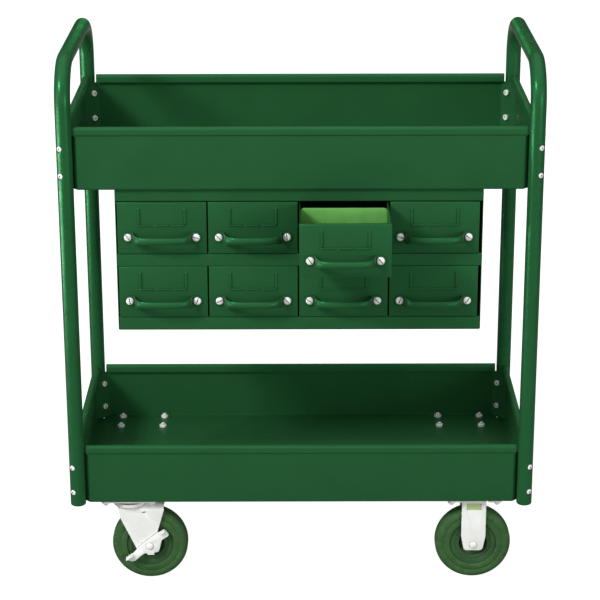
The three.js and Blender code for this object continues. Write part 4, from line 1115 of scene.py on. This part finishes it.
class CART_OT_brakes(Step, bpy.types.Operator):
    """Models the brake levers"""

    bl_idname = "cart.brakes"
    bl_label = "Brake levers"

    def model(self, scene):
        lever = self.lever(scene.cart_caster)
        for end in ENDS:
            node = f"brake_lever_{end}"
            place = middle(f"swivel_tyre_{end}")
            place.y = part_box(f"swivel_axle_{end}")[0].y + 0.0033
            put(lever, f"{node}_stamping", place, f"brake_{end}", "zinc", node)
        drop(lever)

    def lever(self, sizes):
        """Hub plate, release arm with a lip, and a pedal arm joggled forward, its edge a ridged tread."""
        sheet = sizes.lever_sheet
        along, over = slope(sizes.lever_slope)
        back, front = sheet / 2, sheet / 2 - sizes.lever_joggle
        line = [(-0.08, front), (-0.0268, front), (-0.0152, back), (0.08, back)]
        line = rounded(line, [0, 0.004, 0.004, 0], steps=5)
        made = folded("lever", line, over * -0.08, along, ACROSS, over * 0.16, sheet)
        # Millimetres round the axle, with the radius of each corner
        corners = (
            (-10, -13.2, 3), (-4.8, -13.2, 0.6), (-3.9, -16, 0.8), (7.7, -16, 0.8), (7.1, -11.6, 0.6),
            (14.4, -10.4, 3), (16.4, -5.4, 4), (20.3, 11.6, 6), (31, 18.2, 4), (32.6, 21.6, 3),
            (25.2, 31, 3.5), (12.2, 23.2, 8), (-13.2, 3.1, 30), (-28.8, -12, 1), (-40, -20, 1),
            (-39.8, -23, 0.8), (-36, -24.2, 0.8), (-30.2, -26, 6), (-24, -24.2, 3), (-18.6, -18.8, 4),
        )
        points, radii = [corner[:2] for corner in corners], [corner[2] for corner in corners]
        trim(made, in_mm(rounded(points, radii, closed=True, steps=5)))
        cut(made, turned("bore", rod(0.005, -MM, 0.004), ACROSS, 32))
        teeth = [(-0.0141, -0.0022), (0, -0.0022), (0, 0)]
        for k in range(3):
            teeth += [(-0.0047 * (k + 0.5), 0.0022), (-0.0047 * (k + 1), 0)]
        start = (-0.0289, sheet - sizes.lever_joggle, -0.012)
        tread = plate("tread", teeth, start, *slope(0.655), ACROSS * -0.0091)
        lip = rounded([(-10, 0), (-10, -8.4), (0, -8.4), (0, 0)], [0, 2, 2, 0], closed=True)
        tab = plate("lip", in_mm(lip), (0.0252, sheet, 0.031), along, ACROSS, over * -sheet)
        return join("lever", ease(made, 0.0004), ease(tread, 0.0003), ease(tab, 0.0004))


def facing(way):
    """The turn about the upright that brings the x axis to a level way."""
    return Matrix.Rotation(math.atan2(way.y, way.x), 4, "Z")


class CART_OT_fasteners(Step, bpy.types.Operator):
    """Models the leg bolts, the nuts in the trays, the caster bolts and the weld marks"""

    bl_idname = "cart.fasteners"
    bl_label = "Fasteners"

    def model(self, scene):
        self.in_legs(scene)
        self.in_casters(scene)
        self.welds(scene.cart_tray)

    def in_legs(self, scene):
        """A round socket head outside each leg, and a nut inside the tray's corner strip."""
        tubes, trays, socket = scene.cart_tube, scene.cart_tray, 0.0015
        line = [(0, 0), (tubes.bolt_head / 2, 0)] + dome(tubes.bolt_head / 2, 0.0003, 0.0018, 10, 9)
        button = turned("button", line + [(socket, 0.002), (socket, 0.0003), (0, 0.0003)], ALONG, 32)
        bore = turned("bore", rod(0.0026, 0.0022, 0.006), ALONG, 20)
        ring = ease(cut(hexagon("ring", ALONG, 0.0047, 0.0042), bore), 0.0002, 1, 40)
        strip = sum(wall_reach(trays)) - trays.corner_cut
        shift = (LEG_X + LEG_Y - strip) / math.sqrt(2) + trays.sheet
        for name, order, leg, (x, y) in leg_bolts(scene):
            for form, word, way, reach in (
                (button, "bolt", bolt_way(scene, x, y), tubes.bolt_seat),
                (ring, "nut", Vector((-x, -y, 0)).normalized(), shift),
            ):
                put(form, f"{name}_{word}_{order}", leg + way * reach, "cart", "zinc", turn=facing(way))
        drop(button, ring)

    def in_casters(self, scene):
        """Through each plate a bolt with its head below and its nut on the floor of the tray."""
        sizes, floor = scene.cart_caster, TRAY_Z["lower_tray"]
        stub = turned("stub", [(0, 0), (0.003, 0), (0.003, 0.0074), (0.0024, 0.008), (0, 0.008)], ALONG, 20)
        nut = join("nut", ease(hexagon("nut", ALONG, 0.0056, 0.005), 0.0002, 1, 40), stub)
        upright = Matrix.Rotation(-QUARTER, 4, "Y")
        for kind, node in (("rigid", "rigid_bracket"), ("swivel", "swivel_plate")):
            for end in ENDS:
                for k, (x, y) in enumerate(CORNERS, 1):
                    spot = under(f"{node}_{end}") + Vector((x * sizes.bolt_x / 2, y * sizes.bolt_y / 2, 0))
                    for word, level, turn in (
                        ("nut", floor + scene.cart_tray.sheet, upright),
                        ("bolt", floor - sizes.leg - REST, upright.inverted()),
                    ):
                        name = f"{kind}_caster_{end}_{word}_{k}"
                        put(nut, name, spot + UP * level, "cart", "zinc", turn=turn)
        drop(nut)

    def welds(self, trays):
        """Small low bumps inside the end walls."""
        wall = wall_reach(trays)[0] - trays.sheet - 0.0002
        line = [(0, 0)] + dome(0.0034, 0, 0.0014, 6, 6) + [(0, 0.0014)]
        for tray, sign, y, rise in (("upper_tray", 1, 0.1038, 0.0448), ("lower_tray", -1, 0.1176, 0.0275)):
            spot = (sign * wall, CART_Y + y, TRAY_Z[tray] + rise)
            finish(turned(f"{tray}_weld_mark", line, ALONG * -sign, 20, spot), "cart", "sheet_paint")


class CART_OT_stage(Step, bpy.types.Operator):
    """Sets the floor, the lights, the sky and the camera"""

    bl_idname = "cart.stage"
    bl_label = "Stage"

    def model(self, scene):
        sizes = scene.cart_stage
        settle()
        bpy.ops.mesh.primitive_plane_add(size=30, location=ORIGIN)
        floor = rename(bpy.context.object, "floor")
        floor.data.materials.append(self.floor_finish(sizes.floor))
        self.sky(scene, sizes)
        self.lamps(scene, sizes)
        self.camera(scene, sizes)
        scene.view_settings.view_transform = "Standard"

    def lamps(self, scene, sizes):
        """Area lamps: the card and the glow show only in reflections, the back lamp not in them."""
        centre = (0, CART_Y, 0.45)
        for name, place, target, width, tall in (
            ("key", (-3.2, -3.0, 3.6), centre, 1.1, 1.1),
            ("fill", (3.0, -3.2, 0.9), centre, 2.2, 1.6),
            ("side", (-2.9, -0.9, 1.1), centre, 0.4, 1.8),
            ("back", (0.9, 3.3, 2.0), centre, 2.4, 1.6),
            ("card", (-2.75, -0.9, 0.01), (-2.75, -0.9, 1), 1.3, 2.2),
            ("glow", (-0.3, 2.8, 1.15), (-0.2, 0, 0.85), 0.7, 0.6),
        ):
            lamp = bpy.data.lights.new(name, "AREA")
            lamp.shape = "RECTANGLE"
            lamp.size, lamp.size_y, lamp.energy = width, tall, getattr(sizes, name)
            item = bpy.data.objects.new(name, lamp)
            bpy.context.collection.objects.link(item)
            item.location = place
            item.rotation_euler = (Vector(target) - Vector(place)).to_track_quat("-Z", "Y").to_euler()
            item.visible_camera = False
            item.visible_diffuse = name not in ("card", "glow")
            item.visible_glossy = name != "back"
            if name == "glow":
                lamp.color = scene.cart_colours.glow

    def floor_finish(self, pale):
        """Pale floor that keeps a soft shadow and shows white to the camera."""
        material = bpy.data.materials.new("pale_floor")
        material.use_nodes = True
        tree = material.node_tree
        sockets = {"Base Color": (pale, pale, pale, 1), "Roughness": 0.9, "Specular IOR Level": 0.1}
        sockets.update({"Emission Color": (0.97, 0.97, 0.97, 1), "Emission Strength": seen(tree)})
        fill_in(tree, tree.nodes["Principled BSDF"], sockets)
        return material

    def sky(self, scene, sizes):
        """Light of the room before and over the cart, and plain white where the camera looks."""
        scene.world = bpy.data.worlds.new("sky")
        scene.world.use_nodes = True
        tree = scene.world.node_tree
        place = add_node(tree, "ShaderNodeTexCoord").outputs["Generated"]
        way = add_node(tree, "ShaderNodeSeparateXYZ", {0: place}).outputs
        ahead = ramp(tree, way["Y"], -0.5, 0.2, sizes.ahead, sizes.behind)
        over = ramp(tree, way["Z"], 0.55, 1, 0, sizes.overhead)
        level = add_node(tree, "ShaderNodeMath", {0: ahead, 1: over}).outputs[0]
        room = fill_in(tree, tree.nodes["Background"], {"Color": (1, 1, 1, 1), "Strength": level})
        white = add_node(tree, "ShaderNodeBackground", {"Color": (1, 1, 1, 1), "Strength": 1})
        sockets = {"Fac": seen(tree), 1: room.outputs[0], 2: white.outputs[0]}
        mixer = add_node(tree, "ShaderNodeMixShader", sockets)
        fill_in(tree, tree.nodes["World Output"], {"Surface": mixer.outputs[0]})

    def camera(self, scene, sizes):
        eye = bpy.data.cameras.new("camera")
        eye.lens = sizes.lens
        eye.sensor_width = 36
        eye.sensor_fit = "HORIZONTAL"
        item = bpy.data.objects.new("camera", eye)
        scene.collection.objects.link(item)
        level = math.cos(sizes.pitch)
        ahead = Vector((math.sin(sizes.yaw) * level, math.cos(sizes.yaw) * level, -math.sin(sizes.pitch)))
        right = Vector((math.cos(sizes.yaw), -math.sin(sizes.yaw), 0))
        over = right.cross(ahead)
        rolled_right = right * math.cos(sizes.roll) + over * math.sin(sizes.roll)
        rolled_up = over * math.cos(sizes.roll) - right * math.sin(sizes.roll)
        axes = Matrix((rolled_right, rolled_up, -ahead)).transposed().to_4x4()
        item.matrix_world = Matrix.Translation(sizes.camera) @ axes
        scene.camera = item


GROUPS = {
    "cart_tube": CartTubeSizes,
    "cart_tray": CartTraySizes,
    "cart_cabinet": CartCabinetSizes,
    "cart_drawer": CartDrawerSizes,
    "cart_caster": CartCasterSizes,
    "cart_colours": CartColours,
    "cart_stage": CartStage,
}
STEPS = (
    CART_OT_finishes,
    CART_OT_end_frames,
    CART_OT_trays,
    CART_OT_cabinet,
    CART_OT_drawers,
    CART_OT_pulls,
    CART_OT_wheels,
    CART_OT_rigid_casters,
    CART_OT_swivel_casters,
    CART_OT_brakes,
    CART_OT_fasteners,
    CART_OT_stage,
)


class CART_PT_panel(bpy.types.Panel):
    """The cart's sizes, colours and steps"""

    bl_idname = "CART_PT_panel"
    bl_label = "Stock cart"
    bl_space_type = "VIEW_3D"
    bl_region_type = "UI"
    bl_category = "Stock cart"

    def draw(self, context):
        for group in GROUPS:
            column = self.layout.column(align=True)
            settings = getattr(context.scene, group)
            for key in settings.bl_rna.properties.keys():
                if key not in ("rna_type", "name"):
                    column.prop(settings, key)
        for step in STEPS:
            self.layout.operator(step.bl_idname)


def register():
    for group, kind in GROUPS.items():
        bpy.utils.register_class(kind)
        setattr(bpy.types.Scene, group, PointerProperty(type=kind))
    for kind in (*STEPS, CART_PT_panel):
        bpy.utils.register_class(kind)


def unregister():
    for kind in (CART_PT_panel, *reversed(STEPS)):
        bpy.utils.unregister_class(kind)
    for group, kind in GROUPS.items():
        delattr(bpy.types.Scene, group)
        bpy.utils.unregister_class(kind)


def main():
    register()
    for step in STEPS:
        family, name = step.bl_idname.split(".")
        getattr(getattr(bpy.ops, family), name)()
    settle()


if __name__ == "__main__":
    main()
